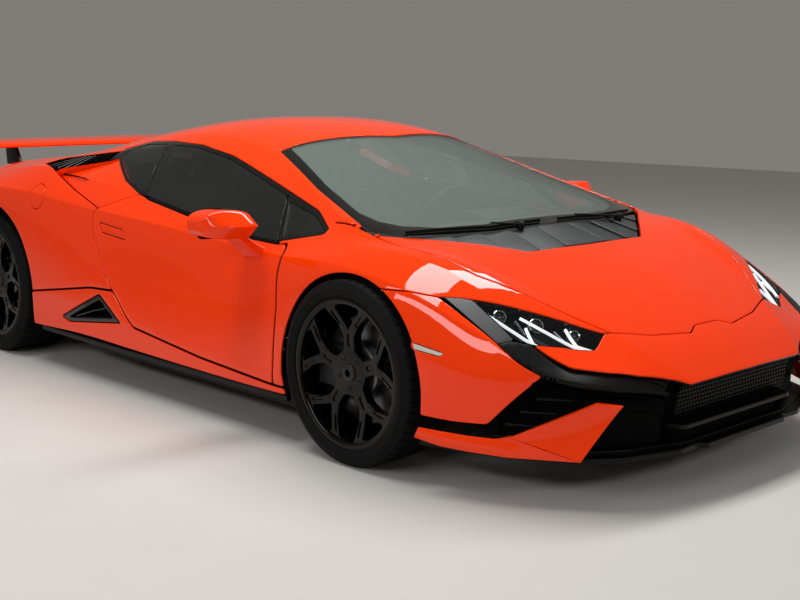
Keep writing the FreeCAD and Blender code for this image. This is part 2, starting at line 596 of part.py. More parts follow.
def turned(body, name, corners):
    """A ring turned about the body's Y axis; corners are (radius, along the axle)."""
    sketch = outline_in(body, name + "_outline", "XY_Plane", corners)
    ring = body.newObject("PartDesign::Revolution", name)
    ring.Profile = sketch
    ring.ReferenceAxis = (sketch, ["V_Axis"])
    ring.Angle = 360
    return ring


def at(x, y, z):
    """A placement at a point, unturned."""
    return FreeCAD.Placement(FreeCAD.Vector(x, y, z), FreeCAD.Rotation())


def mirrored(source, label):
    """The right-hand twin of a left-hand sub-part."""
    twin = doc.addObject("Part::Mirroring", label)
    twin.Source = source
    twin.Normal = FreeCAD.Vector(0, 1, 0)
    return keep(twin, label)


def make_tyre(label, radius, half):
    """A low tyre: bead steps over the rim's lips, bulged walls, round shoulders, flat tread."""
    body = doc.addObject("PartDesign::Body", label)
    lip = half + " - lip_setback"
    wall = [("bead_radius", "%s - lip_width"), ("lip_radius", "%s - lip_width"), ("lip_radius", "%s")]
    outside = [(corner[0], corner[1] % lip) for corner in wall]
    outside += [("lip_radius + wall_bulge", half), (radius + " - tyre_shoulder", half + " - shoulder_set"),
                (radius, half + " - tyre_shoulder")]
    inside = [(corner[0], "-(" + corner[1] + ")") for corner in reversed(outside)]
    turned(body, "tread_ring", outside + inside)
    return body


def make_rim(label, half):
    """A rim with its barrel, five forked spokes, hub, cap and the brake disc bolted behind it."""
    body = doc.addObject("PartDesign::Body", label)
    lip = half + " - lip_setback"
    turned(body, "barrel", [
        ("bead_radius - rim_wall", lip), ("lip_radius", lip), ("lip_radius", lip + " - lip_width"),
        ("bead_radius", lip + " - lip_width"), ("bead_radius", "-(" + lip + " - lip_width)"),
        ("lip_radius", "-(" + lip + " - lip_width)"), ("lip_radius", "-(" + lip + ")"),
        ("bead_radius - rim_wall", "-(" + lip + ")")])
    face = lip + " - spoke_setback"
    turned(body, "hub_and_disc", [
        ("0", face + " - cap_depth"), ("0", face), ("hub_radius", face), ("hub_radius", face + " - spoke_depth"),
        ("disc_bell_radius", face + " - spoke_depth"), ("disc_bell_radius", "disc_thickness / 2"),
        ("disc_radius", "disc_thickness / 2"), ("disc_radius", "-disc_thickness / 2"),
        ("axle_radius + pin_clearance", "-disc_thickness / 2"),
        ("axle_radius + pin_clearance", face + " - cap_depth")])
    fork = outline_in(body, "spoke_outline", "XZ_Plane", [
        ("hub_radius * 0.6", "-spoke_root"), ("fork_radius", "-spoke_root"),
        ("spoke_reach * cos(fork_angle)", "-spoke_reach * sin(fork_angle)"),
        ("spoke_reach * cos(fork_inner)", "-spoke_reach * sin(fork_inner)"),
        ("fork_radius + spoke_root", "0"),
        ("spoke_reach * cos(fork_inner)", "spoke_reach * sin(fork_inner)"),
        ("spoke_reach * cos(fork_angle)", "spoke_reach * sin(fork_angle)"),
        ("fork_radius", "spoke_root"), ("hub_radius * 0.6", "spoke_root")])
    fork.setExpression("AttachmentOffset.Base.z", linked("-(" + face + ")"))
    spoke = body.newObject("PartDesign::Pad", "spoke")
    spoke.Profile = fork
    bind(spoke, Length="spoke_depth")
    doc.recompute()
    spokes = body.newObject("PartDesign::PolarPattern", "spokes")
    spokes.Originals = [spoke]
    spokes.Axis = (plane_of(body, "Y_Axis"), [""])
    spokes.Angle = 360
    bind(spokes, Occurrences="spoke_count")
    body.Tip = spokes
    doc.recompute()
    return body


for end, sign_x in (("front", 1), ("rear", -1)):
    hub = at(size(end + "_axle_x"), size(end + "_track_half"), size(end + "_tyre_radius"))
    for label, maker in (("tyre_", make_tyre(end + "_tyre", end + "_tyre_radius", end + "_tyre_half")),
                         ("rim_", make_rim(end + "_rim", end + "_tyre_half"))):
        maker.Placement = hub
        keep(maker, label + end + "_left")
        mirrored(maker, label + end + "_right")


def block(name, x, y, z):
    """A box; x, y and z are each a pair of formulas, its low and high faces."""
    item = doc.addObject("Part::Box", name)
    for (low, high), length, axis in ((x, "Length", "x"), (y, "Width", "y"), (z, "Height", "z")):
        item.setExpression(length, linked("(%s) - (%s)" % (high, low)))
        item.setExpression("Placement.Base." + axis, linked(low))
    return item


def rod(name, start, end, radius):
    """A round bar from point to point; radius is a formula."""
    item = doc.addObject("Part::Cylinder", name)
    run = FreeCAD.Vector(*end) - FreeCAD.Vector(*start)
    bind(item, Radius=radius)
    item.Height = run.Length
    item.Placement = FreeCAD.Placement(FreeCAD.Vector(*start),
                                       FreeCAD.Rotation(FreeCAD.Vector(0, 0, 1), run))
    return item


def joined(name, items):
    """Several pieces made into one."""
    item = doc.addObject("Part::MultiFuse", name)
    item.Shapes = items
    item.Refine = True
    return item


def less(name, base, tool):
    """One piece with another cut out of it."""
    item = doc.addObject("Part::Cut", name)
    item.Base = base
    item.Tool = tool
    return item


def form(name, shape):
    """A body form kept in the document so that other pieces can be trimmed to it."""
    item = doc.addObject("Part::Feature", name)
    item.Shape = shape
    return item


def group(label, items):
    """Several like pieces that share one sub-part without touching."""
    item = doc.addObject("Part::Compound", label)
    item.Links = items
    return keep(item, label)


outer_form = form("outer_form", outer)
inner_form = form("inner_form", inner)

# Tub: floor, walls between cabin, wheels, engine and luggage bin
wall_low, wall_high = "floor_z + floor_thickness", "rail_top_z"
half, inside = "tub_half", "tub_half - tub_wall"
tub_blocks = [
    block("cabin_floor", ("cabin_rear_x - tub_wall", "footwell_x + 20"), ("-sill_half", "sill_half"),
          ("floor_z", wall_low)),
    block("front_floor", ("footwell_x", "tub_front_x"), ("-" + half, half), ("floor_z", wall_low)),
    block("rear_floor", ("tub_rear_x", "cabin_rear_x"), ("-" + half, half), ("floor_z", wall_low)),
    block("rear_bulkhead", ("cabin_rear_x - tub_wall", "cabin_rear_x"), ("-far_half", "far_half"),
          ("floor_z", "bulkhead_z")),
    block("front_bulkhead", ("cabin_front_x", "cabin_front_x + tub_wall"), ("-" + half, half),
          ("floor_z", "bulkhead_front_z")),
    block("front_cross", ("luggage_rear_x", "luggage_rear_x + tub_wall"), ("-" + half, half),
          ("floor_z", wall_high)),
    block("nose_cross", ("luggage_front_x - tub_wall", "luggage_front_x"), ("-" + half, half),
          ("floor_z", wall_high)),
    block("tub_nose", ("tub_front_x - tub_wall", "tub_front_x"), ("-" + half, half), ("floor_z", wall_high)),
    block("tail_wall", ("tub_rear_x", "tub_rear_x + tub_wall"), ("-tail_half", "tail_half"),
          ("floor_z", "far_half")),
]
for sign, side in (("", "left"), ("-", "right")):
    across = (sign + "(tub_half - tub_wall)", sign + "tub_half")
    outboard = (sign + "(tub_half - tub_wall)", sign + "far_half")
    if sign:
        across = (across[1], across[0])
        outboard = (outboard[1], outboard[0])
    tub_blocks.append(block("front_rail_" + side, ("footwell_x", "tub_front_x"), across, ("floor_z", wall_high)))
    tub_blocks.append(block("rear_rail_" + side, ("tub_rear_x", "cabin_rear_x"), across, ("floor_z", wall_high)))
    tub_blocks.append(block("footwell_wall_" + side, ("footwell_x", "footwell_x + 20"), outboard,
                            ("floor_z", "footwell_z")))
bin_outer = block("bin_outer", ("luggage_rear_x", "luggage_front_x"), ("-luggage_half", "luggage_half"),
                  ("luggage_floor_z", "luggage_top_z"))
tub_blocks.append(bin_outer)
bin_space = block("bin_space", ("luggage_rear_x + tub_wall", "luggage_front_x - tub_wall"),
                  ("-(luggage_half - tub_wall)", "luggage_half - tub_wall"),
                  ("luggage_floor_z + tub_wall", "luggage_top_z + tub_wall"))
tub_blank = less("tub_blank", joined("tub_blocks", tub_blocks), bin_space)
tub = doc.addObject("Part::Common", "floor_tub")
tub.Base = tub_blank
tub.Tool = inner_form
keep(tub, "floor_tub")

# Wheel liners: half rings over each wheel, between the tub's rails and the body's sides
liners = []
for end, x, z, room in (("front", "front_arch_x", "front_arch_z", "front_wheel_room"),
                        ("rear", "rear_axle_x", "rear_tyre_radius", "liner_gap")):
    ring = less(end + "_liner_ring",
                bind(doc.addObject("Part::Cylinder", end + "_liner_out"),
                     Radius=end + "_arch_radius + liner_wall + " + room, Height="2 * far_half"),
                bind(doc.addObject("Part::Cylinder", end + "_liner_in"),
                     Radius=end + "_arch_radius + " + room, Height="2 * far_half"))
    for name in (end + "_liner_out", end + "_liner_in"):
        doc.getObject(name).Placement = FreeCAD.Placement(
            FreeCAD.Vector(size(x), -size("far_half"), size(z)),
            FreeCAD.Rotation(FreeCAD.Vector(1, 0, 0), -90))
    for sign, side in ((1, "left"), (-1, "right")):
        keeper = block(end + "_liner_zone_" + side, ("-3000", "3000"),
                       ("tub_half", "far_half") if sign > 0 else ("-far_half", "-tub_half"),
                       ("liner_low_z", "far_half"))
        half_ring = doc.addObject("Part::Common", end + "_liner_" + side)
        half_ring.Base = ring
        half_ring.Tool = keeper
        fitted = doc.addObject("Part::Common", end + "_liner_fitted_" + side)
        fitted.Base = half_ring
        fitted.Tool = inner_form
        liners.append(fitted)
group("wheel_liners", liners)

# Engine: one plain block on the rear floor
keep(block("engine_block", ("engine_front_x - engine_length", "engine_front_x"),
           ("-engine_width / 2", "engine_width / 2"), (wall_low, wall_low + " + engine_height")), "engine_block")

# Splitter under the nose
piece("front_splitter", from_above(SPLITTER, size("splitter_z"), size("splitter_top_z")))

# Skirts on the splitter's ends, each with a winglet standing on it across the mouth of the front intake
off_skin = body_form(-size("skirt_seat"), -size("skirt_seat"))
skirt = from_above(SKIRT, size("splitter_top_z"), 240).common(from_side(SKIRT_SIDE, -FAR, FAR)).cut(off_skin)
root, tip_rear, tip_front, foot = (FreeCAD.Vector(*corner) for corner in WINGLET)
face = Part.makeRuledSurface(Part.makeLine(root, foot), Part.makeLine(tip_rear, tip_front))
outward = (foot - root).cross(tip_rear - root).normalize()
if outward.x < 0:
    outward = -outward
winglet = both(face.extrude(outward * size("winglet_thickness")))
winglet = winglet.cut(off_skin.common(box(0, 2400, -FAR, FAR, 0, size("grille_low_z") + size("skirt_seat"))))
skirts = [skirt_side.fuse(winglet_side).removeSplitter().Solids[0]
          for skirt_side, winglet_side in zip(
              (side_of(skirt, sign) for sign in (1, -1)), (side_of(winglet, sign) for sign in (1, -1)))]
piece("winglets", Part.makeCompound(skirts))

# Diffuser: a rising floor with upright fins between its end plates
ramp_x, lip_x = size("tub_rear_x"), size("diffuser_tail_x")
ramp_z, lip_z = size("floor_z"), size("diffuser_lip_z")
ramp = [(ramp_x, ramp_z), (ramp_x, ramp_z + size("diffuser_floor")), (lip_x, lip_z + size("diffuser_floor")),
        (lip_x, lip_z)]
fin = [(ramp_x, ramp_z + 2), (lip_x + 20, ramp_z + 40), (lip_x, lip_z + size("diffuser_floor")),
       (ramp_x, ramp_z + size("diffuser_floor"))]
end_plate = [(ramp_x, ramp_z), (ramp_x, size("diffuser_top_z")), (-2200, size("diffuser_top_z")), (lip_x, lip_z)]
diffuser = from_side(ramp, -size("diffuser_half"), size("diffuser_half"))
for number in range(-3, 4):
    y = number * size("fin_pitch")
    diffuser = diffuser.fuse(from_side(fin, y - size("fin_half"), y + size("fin_half")))
    if abs(number) == 3:
        diffuser = diffuser.fuse(from_side(end_plate, y - size("fin_half"), y + size("fin_half")))
piece("rear_diffuser", diffuser.removeSplitter().Solids[0])

# Exhaust tips: two six-sided tubes through the tail
pipe_tail, pipe_front = size("pipe_tail_x"), size("pipe_tail_x") + size("pipe_length")
tube = hexagon(size("pipe_radius"), size("pipe_y"), size("pipe_z"), pipe_tail, pipe_front)
tube = tube.cut(hexagon(size("pipe_radius") - size("pipe_wall"), size("pipe_y"), size("pipe_z"), pipe_tail,
                        pipe_front - 1.5 * size("pipe_wall")))
piece("exhaust_tips", both(tube))

# Rear wing on two uprights that stand on the deck
blade = doc.addObject("PartDesign::Body", "wing_blade")
profile = outline_in(blade, "wing_outline", "XZ_Plane", [
    ("wing_chord / 2", "0"), ("wing_chord * 0.36", "wing_thickness * 0.45"), ("0", "wing_thickness * 0.5"),
    ("-wing_chord / 2", "wing_thickness * 0.2"), ("-wing_chord / 2", "wing_thickness * 0.1"),
    ("0", "-wing_thickness * 0.4"), ("wing_chord * 0.36", "-wing_thickness * 0.4")])
span = blade.newObject("PartDesign::Pad", "wing_span")
span.Profile = profile
span.Midplane = True
bind(span, Length="2 * wing_half_span")
blade.Placement = FreeCAD.Placement(FreeCAD.Vector(size("wing_x"), 0, size("wing_z")),
                                    FreeCAD.Rotation(FreeCAD.Vector(0, 1, 0), size("wing_tilt")))
doc.recompute()
uprights = []
for sign in (1, -1):
    stand = from_side(UPRIGHT, sign * size("upright_y") - size("upright_thickness") / 2,
                      sign * size("upright_y") + size("upright_thickness") / 2)
    uprights.append(stand.cut(outer))
wing = blade.Shape
for stand in uprights:
    wing = wing.fuse(stand)
piece("rear_wing", wing.removeSplitter().Solids[0])

# Wipers: blades and arms lying on the windscreen
wiper_layer = body_form(-size("wiper_height"), -size("wiper_height")).cut(outer)
wipers = []
for outline in WIPERS:
    points = widened(outline, 0)
    wire = Part.makePolygon([FreeCAD.Vector(x, y, 700) for x, y in points + points[:1]])
    wipers += wiper_layer.common(Part.Face(wire).extrude(FreeCAD.Vector(0, 0, 500))).Solids
piece("wipers", Part.makeCompound(wipers))

# Seats: closed shapes with the right size and place
for sign, side in ((1, "left"), (-1, "right")):
    low, high = "%s(seat_y - seat_width / 2)", "%s(seat_y + seat_width / 2)"
    mark = "" if sign > 0 else "-"
    across = (low % mark, high % mark) if sign > 0 else (high % mark, low % mark)
    cushion = block("cushion_" + side, ("seat_rear_x", "seat_front_x"), across, (wall_low, "seat_cushion_z"))
    back = doc.addObject("Part::Box", "back_" + side)
    bind(back, Length="seat_back_thickness", Width="seat_width",
         Height="(seat_back_top_z - seat_hip_z) / cos(seat_lean)")
    back.Placement = FreeCAD.Placement(
        FreeCAD.Vector(size("seat_rear_x") - size("seat_back_thickness") * 0.7,
                       sign * size("seat_y") - size("seat_width") / 2, size("seat_hip_z")),
        FreeCAD.Rotation(FreeCAD.Vector(0, 1, 0), -size("seat_lean")))
    keep(joined("seat_" + side, [cushion, back]), "seat_" + side)

# Dashboard with the centre console and the steering column
dash = from_side(DASH, -size("dash_half"), size("dash_half"))
dash = dash.fuse(from_side(DASH_FRONT, -size("dash_front_half"), size("dash_front_half")))
dash = dash.fuse(from_side(DASH_TOP, -size("dash_top_half"), size("dash_top_half")))
dash = dash.fuse(box(-120, 800, -size("console_half"), size("console_half"),
                     size("floor_z") + size("floor_thickness"), size("console_z")))
lean = math.radians(size("steering_lean"))
column_way = FreeCAD.Vector(-math.cos(lean), 0, math.sin(lean))
wheel_centre = FreeCAD.Vector(size("steering_x"), size("seat_y"), size("steering_z"))
column = Part.makeCylinder(size("column_radius"), size("column_length"),
                           wheel_centre - column_way * size("column_reach"), column_way)
piece("dashboard", dash.fuse(column).removeSplitter().Solids[0])

# Steering wheel: rim, hub and three spokes
grip_ring = doc.addObject("Part::Torus", "steering_rim")
bind(grip_ring, Radius1="steering_radius", Radius2="steering_tube")
boss = doc.addObject("Part::Cylinder", "steering_hub")
bind(boss, Radius="steering_hub_radius", Height="steering_hub_depth")
boss.Placement = at(0, 0, -30)
arms = []
for turn in (0, 180, 270):
    arm = doc.addObject("Part::Box", "steering_spoke_%d" % turn)
    bind(arm, Length="steering_radius", Width="steering_spoke", Height="steering_spoke / 3")
    arm.Placement = FreeCAD.Placement(FreeCAD.Vector(0, 0, -5), FreeCAD.Rotation(FreeCAD.Vector(0, 0, 1), turn),
                                      FreeCAD.Vector(0, 0, 0))
    arms.append(arm)
steering_wheel = joined("steering_wheel", [grip_ring, boss] + arms)
steering_wheel.Placement = FreeCAD.Placement(wheel_centre, FreeCAD.Rotation(FreeCAD.Vector(0, 0, 1), column_way))
keep(steering_wheel, "steering_wheel")

# Door mirrors, each an arrow-shaped head on a stem that meets the door's skin. The head's sections run outwards;
# each gives its place across the head, then rear, nose, foot and top, all as shares of the head's sizes.
MIRROR_SECTIONS = ((-0.5, -0.12, 0.24, -0.24, 0.2), (-0.34, -0.42, 0.5, -0.46, 0.4), (0.12, -0.5, 0.46, -0.5, 0.5),
                   (0.4, -0.44, 0.3, -0.42, 0.4), (0.5, -0.3, 0.14, -0.26, 0.26))
head_wires = []
for across, rear_share, nose_share, foot_share, top_share in MIRROR_SECTIONS:
    shares = ((rear_share, foot_share), (nose_share * 0.5, foot_share), (nose_share, -0.06),
              (nose_share * 0.4, top_share), (rear_share, top_share * 0.92))
    corners = [FreeCAD.Vector(size("mirror_x") + along * size("mirror_length"),
                              size("mirror_y") + across * size("mirror_width"),
                              size("mirror_z") + rise * size("mirror_height")) for along, rise in shares]
    head_wires.append(Part.makePolygon(corners + corners[:1]))
head = doc.addObject("Part::Feature", "mirror_head")
head.Shape = Part.makeLoft(head_wires, True, True)
stem = doc.addObject("Part::Box", "mirror_stem")
bind(stem, Length="mirror_stem_length", Width="mirror_y - stem_inner_y", Height="mirror_stem_height")
stem.Placement = FreeCAD.Placement(
    FreeCAD.Vector(size("mirror_x") - size("mirror_stem_length") / 2, size("stem_inner_y"), size("stem_z")),
    FreeCAD.Rotation(FreeCAD.Vector(1, 0, 0), size("stem_rise")))
mirror_blank = joined("mirror_blank", [head, stem])
mirror_left = less("mirror_left", mirror_blank, outer_form)
keep(mirror_left, "mirror_left")
mirrored(mirror_left, "mirror_right")

# Steering knuckles with caliper and stub axle; the kingpin stands inside the rim's barrel
axle_y, axle_z = size("front_track_half"), size("front_tyre_radius")


def knuckle(prefix, x, y, z, half, facing):
    """Hub carrier on the inner side of the disc, with the caliper over the disc; facing puts it fore or aft."""
    disc = size("disc_thickness") / 2
    inner_y = y - disc - 5 - size("knuckle_length")
    carrier = rod(prefix + "_carrier", (x, inner_y, z), (x, y - disc - 5, z), "knuckle_radius")
    axle = rod(prefix + "_axle", (x, y - disc - 6, z), (x, y + half - size("lip_setback") - 54, z), "axle_radius")
    span = (x + facing * 80, x + facing * 214)
    low, high = min(span), max(span)
    caliper = doc.addObject("Part::Box", prefix + "_caliper")
    caliper.Length, caliper.Width, caliper.Height = high - low, 2 * size("caliper_half"), 150
    caliper.Placement = at(low, y - size("caliper_half"), z - 75)
    slot = doc.addObject("Part::Cylinder", prefix + "_slot")
    bind(slot, Radius="disc_radius + 5", Height="disc_thickness + 10")
    slot.Placement = FreeCAD.Placement(FreeCAD.Vector(x, y - disc - 5, z),
                                       FreeCAD.Rotation(FreeCAD.Vector(1, 0, 0), -90))
    bell = doc.addObject("Part::Cylinder", prefix + "_bell_space")
    bind(bell, Radius="disc_bell_radius + 6", Height="200")
    bell.Placement = FreeCAD.Placement(FreeCAD.Vector(x, y, z), FreeCAD.Rotation(FreeCAD.Vector(1, 0, 0), -90))
    grip = less(prefix + "_grip", less(prefix + "_slotted", caliper, slot), bell)
    bracket = doc.addObject("Part::Box", prefix + "_bracket")
    bracket.Length, bracket.Width, bracket.Height = 110, size("caliper_half") - disc - 5, 80
    bracket.Placement = at(x if facing > 0 else x - 110, y - size("caliper_half"), z - 40)
    return [carrier, axle, grip, bracket]


carrier = knuckle("front", size("front_axle_x"), axle_y, axle_z, size("front_tyre_half"), -1)
pin_y = size("kingpin_y")
carrier.append(rod("kingpin", (size("front_axle_x"), pin_y, size("kingpin_low_z")),
                   (size("front_axle_x"), pin_y, size("kingpin_high_z")), "kingpin_radius"))
knuckle_left = keep(joined("knuckle_left", carrier), "knuckle_left")
mirrored(knuckle_left, "knuckle_right")

# Suspension: arms from the tub to the front kingpins, and the whole rear carriers with their arms and shafts
links = []
for name, z, ball_z in (("lower", size("lower_arm_z"), size("kingpin_low_z") - 17),
                        ("upper", size("upper_arm_z"), size("kingpin_high_z") + 4.5)):
    x = size("front_axle_x")
    ball = doc.addObject("Part::Cylinder", name + "_ball")
    bind(ball, Radius="arm_radius * 1.6", Height="arm_radius")
    ball.Placement = at(x, pin_y, ball_z)
    tip = (x, pin_y, ball_z + 7)
    links.append(joined(name + "_arm_front", [
        ball, rod(name + "_fore", (x + 150, size("tub_half") + 4.6, z), tip, "arm_radius / 2"),
        rod(name + "_aft", (x - 150, size("tub_half") + 4.6, z), tip, "arm_radius / 2")]))
x, y, z = size("rear_axle_x"), size("rear_track_half"), size("rear_tyre_radius")
rear = knuckle("rear", x, y, z, size("rear_tyre_half"), 1)
inner_y = y - size("disc_thickness") / 2 - 5 - size("knuckle_length")
rear.append(rod("half_shaft", (x, size("tub_half") + 0.3, z), (x, inner_y + 2, z), "axle_radius"))
for name, rise in (("low", -50), ("high", 50)):
    for offset in (-160, 160):
        rear.append(rod("rear_%s_arm_%d" % (name, offset > 0), (x + offset, size("tub_half") + 7.6, z + rise * 1.7),
                        (x, inner_y + 14, z + rise), "arm_radius / 2"))
links.append(joined("rear_carrier", rear))
half_set = doc.addObject("Part::Compound", "suspension_left")
half_set.Links = links
twin = doc.addObject("Part::Mirroring", "suspension_right")
twin.Source = half_set
twin.Normal = FreeCAD.Vector(0, 1, 0)
group("suspension", [half_set, twin])

doc.recompute()
os.makedirs("parts", exist_ok=True)
broken = [item.Name for item in doc.Objects if "Invalid" in item.State or "Error" in item.State]
for item in SUBPARTS:
    if item.Shape.isNull() or not item.Shape.isValid():
        broken.append(item.Label)
if broken:
    raise RuntimeError("failed: " + ", ".join(broken))
for item in SUBPARTS:
    item.Shape.exportStep("parts/%s.step" % item.Label)
    print("%-22s %d solids %9.1f cm3" % (item.Label, len(item.Shape.Solids), item.Shape.Volume / 1000))
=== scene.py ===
import bpy
import bmesh
import math
import numpy as np
from mathutils import Matrix, Vector
from mathutils.geometry import delaunay_2d_cdt


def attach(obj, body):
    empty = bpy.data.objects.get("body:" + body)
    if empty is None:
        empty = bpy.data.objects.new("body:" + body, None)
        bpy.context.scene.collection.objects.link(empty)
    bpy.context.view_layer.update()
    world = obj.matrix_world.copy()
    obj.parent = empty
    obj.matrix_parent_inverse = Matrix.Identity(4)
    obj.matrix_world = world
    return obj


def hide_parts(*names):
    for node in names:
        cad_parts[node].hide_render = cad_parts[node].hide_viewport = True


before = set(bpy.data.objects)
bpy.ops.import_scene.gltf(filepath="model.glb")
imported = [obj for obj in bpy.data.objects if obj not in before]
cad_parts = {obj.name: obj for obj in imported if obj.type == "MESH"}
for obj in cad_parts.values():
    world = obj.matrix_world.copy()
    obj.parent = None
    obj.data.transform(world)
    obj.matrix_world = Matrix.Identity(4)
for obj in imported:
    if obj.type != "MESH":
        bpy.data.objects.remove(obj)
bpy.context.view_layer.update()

# A mid-engined supercar. Shapes are worked out in millimetres in the model's frame: +X forward, +Y left, +Z up.
MM = 0.001

# The body's eight feature lines at each station along the car, as the solids have them:
# x, crown z, then (y, z) of hood crease or roof edge, top of side glass, belt, upper crease, widest, lower crease
# and sill.
STATIONS = np.array((
    (-2200, 850, 520, 838, 600, 830, 690, 822, 820, 770, 865, 560, 860, 330, 830, 200),
    (-2050, 868, 510, 852, 640, 852, 740, 842, 885, 780, 915, 560, 915, 330, 880, 190),
    (-1700, 915, 500, 885, 690, 895, 800, 868, 940, 800, 958, 560, 955, 340, 930, 175),
    (-1340, 985, 500, 935, 720, 935, 830, 900, 955, 820, 966, 570, 960, 350, 940, 170),
    (-940, 1062, 515, 1000, 735, 960, 850, 925, 940, 810, 960, 560, 958, 350, 948, 180),
    (-500, 1130, 535, 1070, 680, 1015, 835, 880, 912, 770, 938, 540, 955, 340, 950, 195),
    (-100, 1163, 550, 1095, 630, 1050, 835, 832, 900, 750, 925, 510, 948, 300, 946, 190),
    (400, 1125, 560, 1040, 625, 990, 848, 785, 890, 715, 918, 490, 945, 265, 944, 185),
    (850, 985, 690, 897, 720, 862, 850, 732, 890, 690, 925, 480, 945, 250, 942, 185),
    (1194, 853, 766, 794, 785, 780, 830, 760, 920, 700, 958, 500, 955, 330, 935, 185),
    (1575, 730, 640, 722, 700, 728, 780, 715, 905, 640, 945, 470, 948, 300, 938, 176),
    (1850, 625, 540, 612, 620, 615, 720, 590, 860, 530, 895, 430, 892, 260, 880, 158),
    (2040, 530, 460, 518, 540, 500, 640, 470, 800, 430, 800, 400, 800, 300, 790, 158),
    (2200, 437, 385, 425, 430, 415, 520, 400, 640, 380, 650, 350, 650, 300, 640, 158),
    (2270, 380, 335, 368, 360, 362, 400, 350, 450, 340, 460, 320, 460, 300, 450, 158)), float)
# How sharp each feature line is, 0 round to 1 folded, at places along the car.
SHARPNESS = {
    0: ((0, 0.0),),
    1: ((-2200, 0.6), (-500, 0.35), (400, 0.35), (850, 0.8), (1300, 0.85), (2270, 0.9)),
    2: ((-2200, 0.5), (-900, 0.4), (400, 0.5), (1000, 0.6), (2270, 0.6)),
    3: ((-2200, 0.6), (-1300, 0.5), (-500, 0.9), (850, 0.8), (1194, 0.4), (1575, 0.5), (2000, 0.8)),
    4: ((-2200, 0.9), (-1340, 0.55), (-600, 0.75), (600, 0.85), (1000, 0.5), (1250, 0.3), (1700, 0.6), (2000, 0.85)),
    5: ((0, 0.1),),
    6: ((-2200, 0.85), (-700, 0.9), (900, 0.9), (1400, 0.4), (2270, 0.8)),
    7: ((0, 1.0),),
}
GRID_STEP = 5.0
LINE_X = np.arange(-2300.0, 2371.0, GRID_STEP)
# Panels: spacing of the mesh, gap at a shut line, round of a panel's edge.
MESH_PITCH = 22.0
SHUT_GAP = 4.4
EDGE_ROUND = 2.2
# A step of one in v counts as this many millimetres; the rows beside a fold lie this far from it in v.
LINE_SCALE = 120.0
FINE = 0.03
# Grid points nearer than this to an outline are left out, in millimetres along the car and across it.
CLEAR_ALONG, CLEAR_ACROSS = 5, 3.5
BODY_COLUMNS = np.arange(-2400, 2401, MESH_PITCH)


def cubic(t, start, leave, end, arrive, span=1.0):
    """A cubic from one value to another over a span, with the slopes it leaves and arrives with."""
    return ((2 * t**3 - 3 * t**2 + 1) * start + (t**3 - 2 * t**2 + t) * span * leave
            + (3 * t**2 - 2 * t**3) * end + (t**3 - t**2) * span * arrive)


def matched(a, b):
    """Two parameters as arrays of one shape."""
    return np.broadcast_arrays(np.asarray(a, float), np.asarray(b, float))


def fair_lines():
    """Feature lines on a fine grid: cubics through the stations, then a 30 mm bell average that fairs them."""
    x = STATIONS[:, 0]
    values = np.column_stack([np.zeros(len(x)), STATIONS[:, 1:]])
    steps = np.diff(x)
    slopes = np.diff(values, axis=0) / steps[:, None]
    tangents = np.vstack([slopes[:1], np.zeros_like(slopes[1:]), slopes[-1:]])
    before, after = steps[:-1, None], steps[1:, None]
    tangents[1:-1] = (slopes[:-1] * after + slopes[1:] * before) / (after + before)
    k = np.clip(np.searchsorted(x, LINE_X) - 1, 0, len(x) - 2)
    free = (LINE_X - x[k]) / steps[k]
    t = np.clip(free, 0, 1)[:, None]
    h = steps[k][:, None]
    result = cubic(t, values[k], tangents[k], values[k + 1], tangents[k + 1], h)
    result += (free[:, None] - t) * h * slopes[k]
    half = 18
    bell = np.exp(-(np.arange(-half, half + 1) * GRID_STEP / 30.0)**2 / 2)
    bell /= bell.sum()
    low = result[0] + (result[0] - result[1]) * np.arange(half, 0, -1)[:, None]
    high = result[-1] + (result[-1] - result[-2]) * np.arange(1, half + 1)[:, None]
    padded = np.vstack([low, result, high])
    faired = np.stack([np.convolve(column, bell, "valid") for column in padded.T], axis=1)
    return faired.reshape(len(LINE_X), 8, 2)


LINES = fair_lines()
SHARP = np.stack([np.interp(LINE_X, *np.array(SHARPNESS[k], float).T) for k in range(8)], axis=1)
SPANS = np.diff(LINES, axis=1)
SPAN_LENGTH = np.linalg.norm(SPANS, axis=2, keepdims=True)
SPAN_WAY = SPANS / SPAN_LENGTH
MEAN_WAY = np.concatenate([
    np.broadcast_to([1.0, 0.0], (len(LINE_X), 1, 2)),
    (SPAN_WAY[:, :-1] * SPAN_LENGTH[:, 1:] + SPAN_WAY[:, 1:] * SPAN_LENGTH[:, :-1])
    / (SPAN_LENGTH[:, 1:] + SPAN_LENGTH[:, :-1]), SPAN_WAY[:, -1:]], axis=1)
LEAVE = SPAN_LENGTH * ((1 - SHARP[:, :-1, None]) * MEAN_WAY[:, :-1] + SHARP[:, :-1, None] * SPAN_WAY)
ARRIVE = SPAN_LENGTH * ((1 - SHARP[:, 1:, None]) * MEAN_WAY[:, 1:] + SHARP[:, 1:, None] * SPAN_WAY)


def body(x, v):
    """The body's skin: at x, v runs over the section's feature lines, 0 at the crown to 7 at the left sill and
    to -7 at the right one; between lines it is a cubic that bends or folds at each line by its sharpness."""
    x, v = matched(x, v)
    a = np.clip(np.abs(v), 0, 7)
    k = np.minimum(a.astype(int), 6)
    t = (a - k)[..., None]
    place = np.clip((x - LINE_X[0]) / GRID_STEP, 0, len(LINE_X) - 1.001)
    i = place.astype(int)
    f = (place - i)[..., None]
    start, end = (LINES[i, k + s] * (1 - f) + LINES[i + 1, k + s] * f for s in (0, 1))
    leave, arrive = (way[i, k] * (1 - f) + way[i + 1, k] * f for way in (LEAVE, ARRIVE))
    point = cubic(t, start, leave, end, arrive)
    return np.stack([x, point[..., 0] * np.where(v < 0, -1.0, 1.0), point[..., 1]], axis=-1)


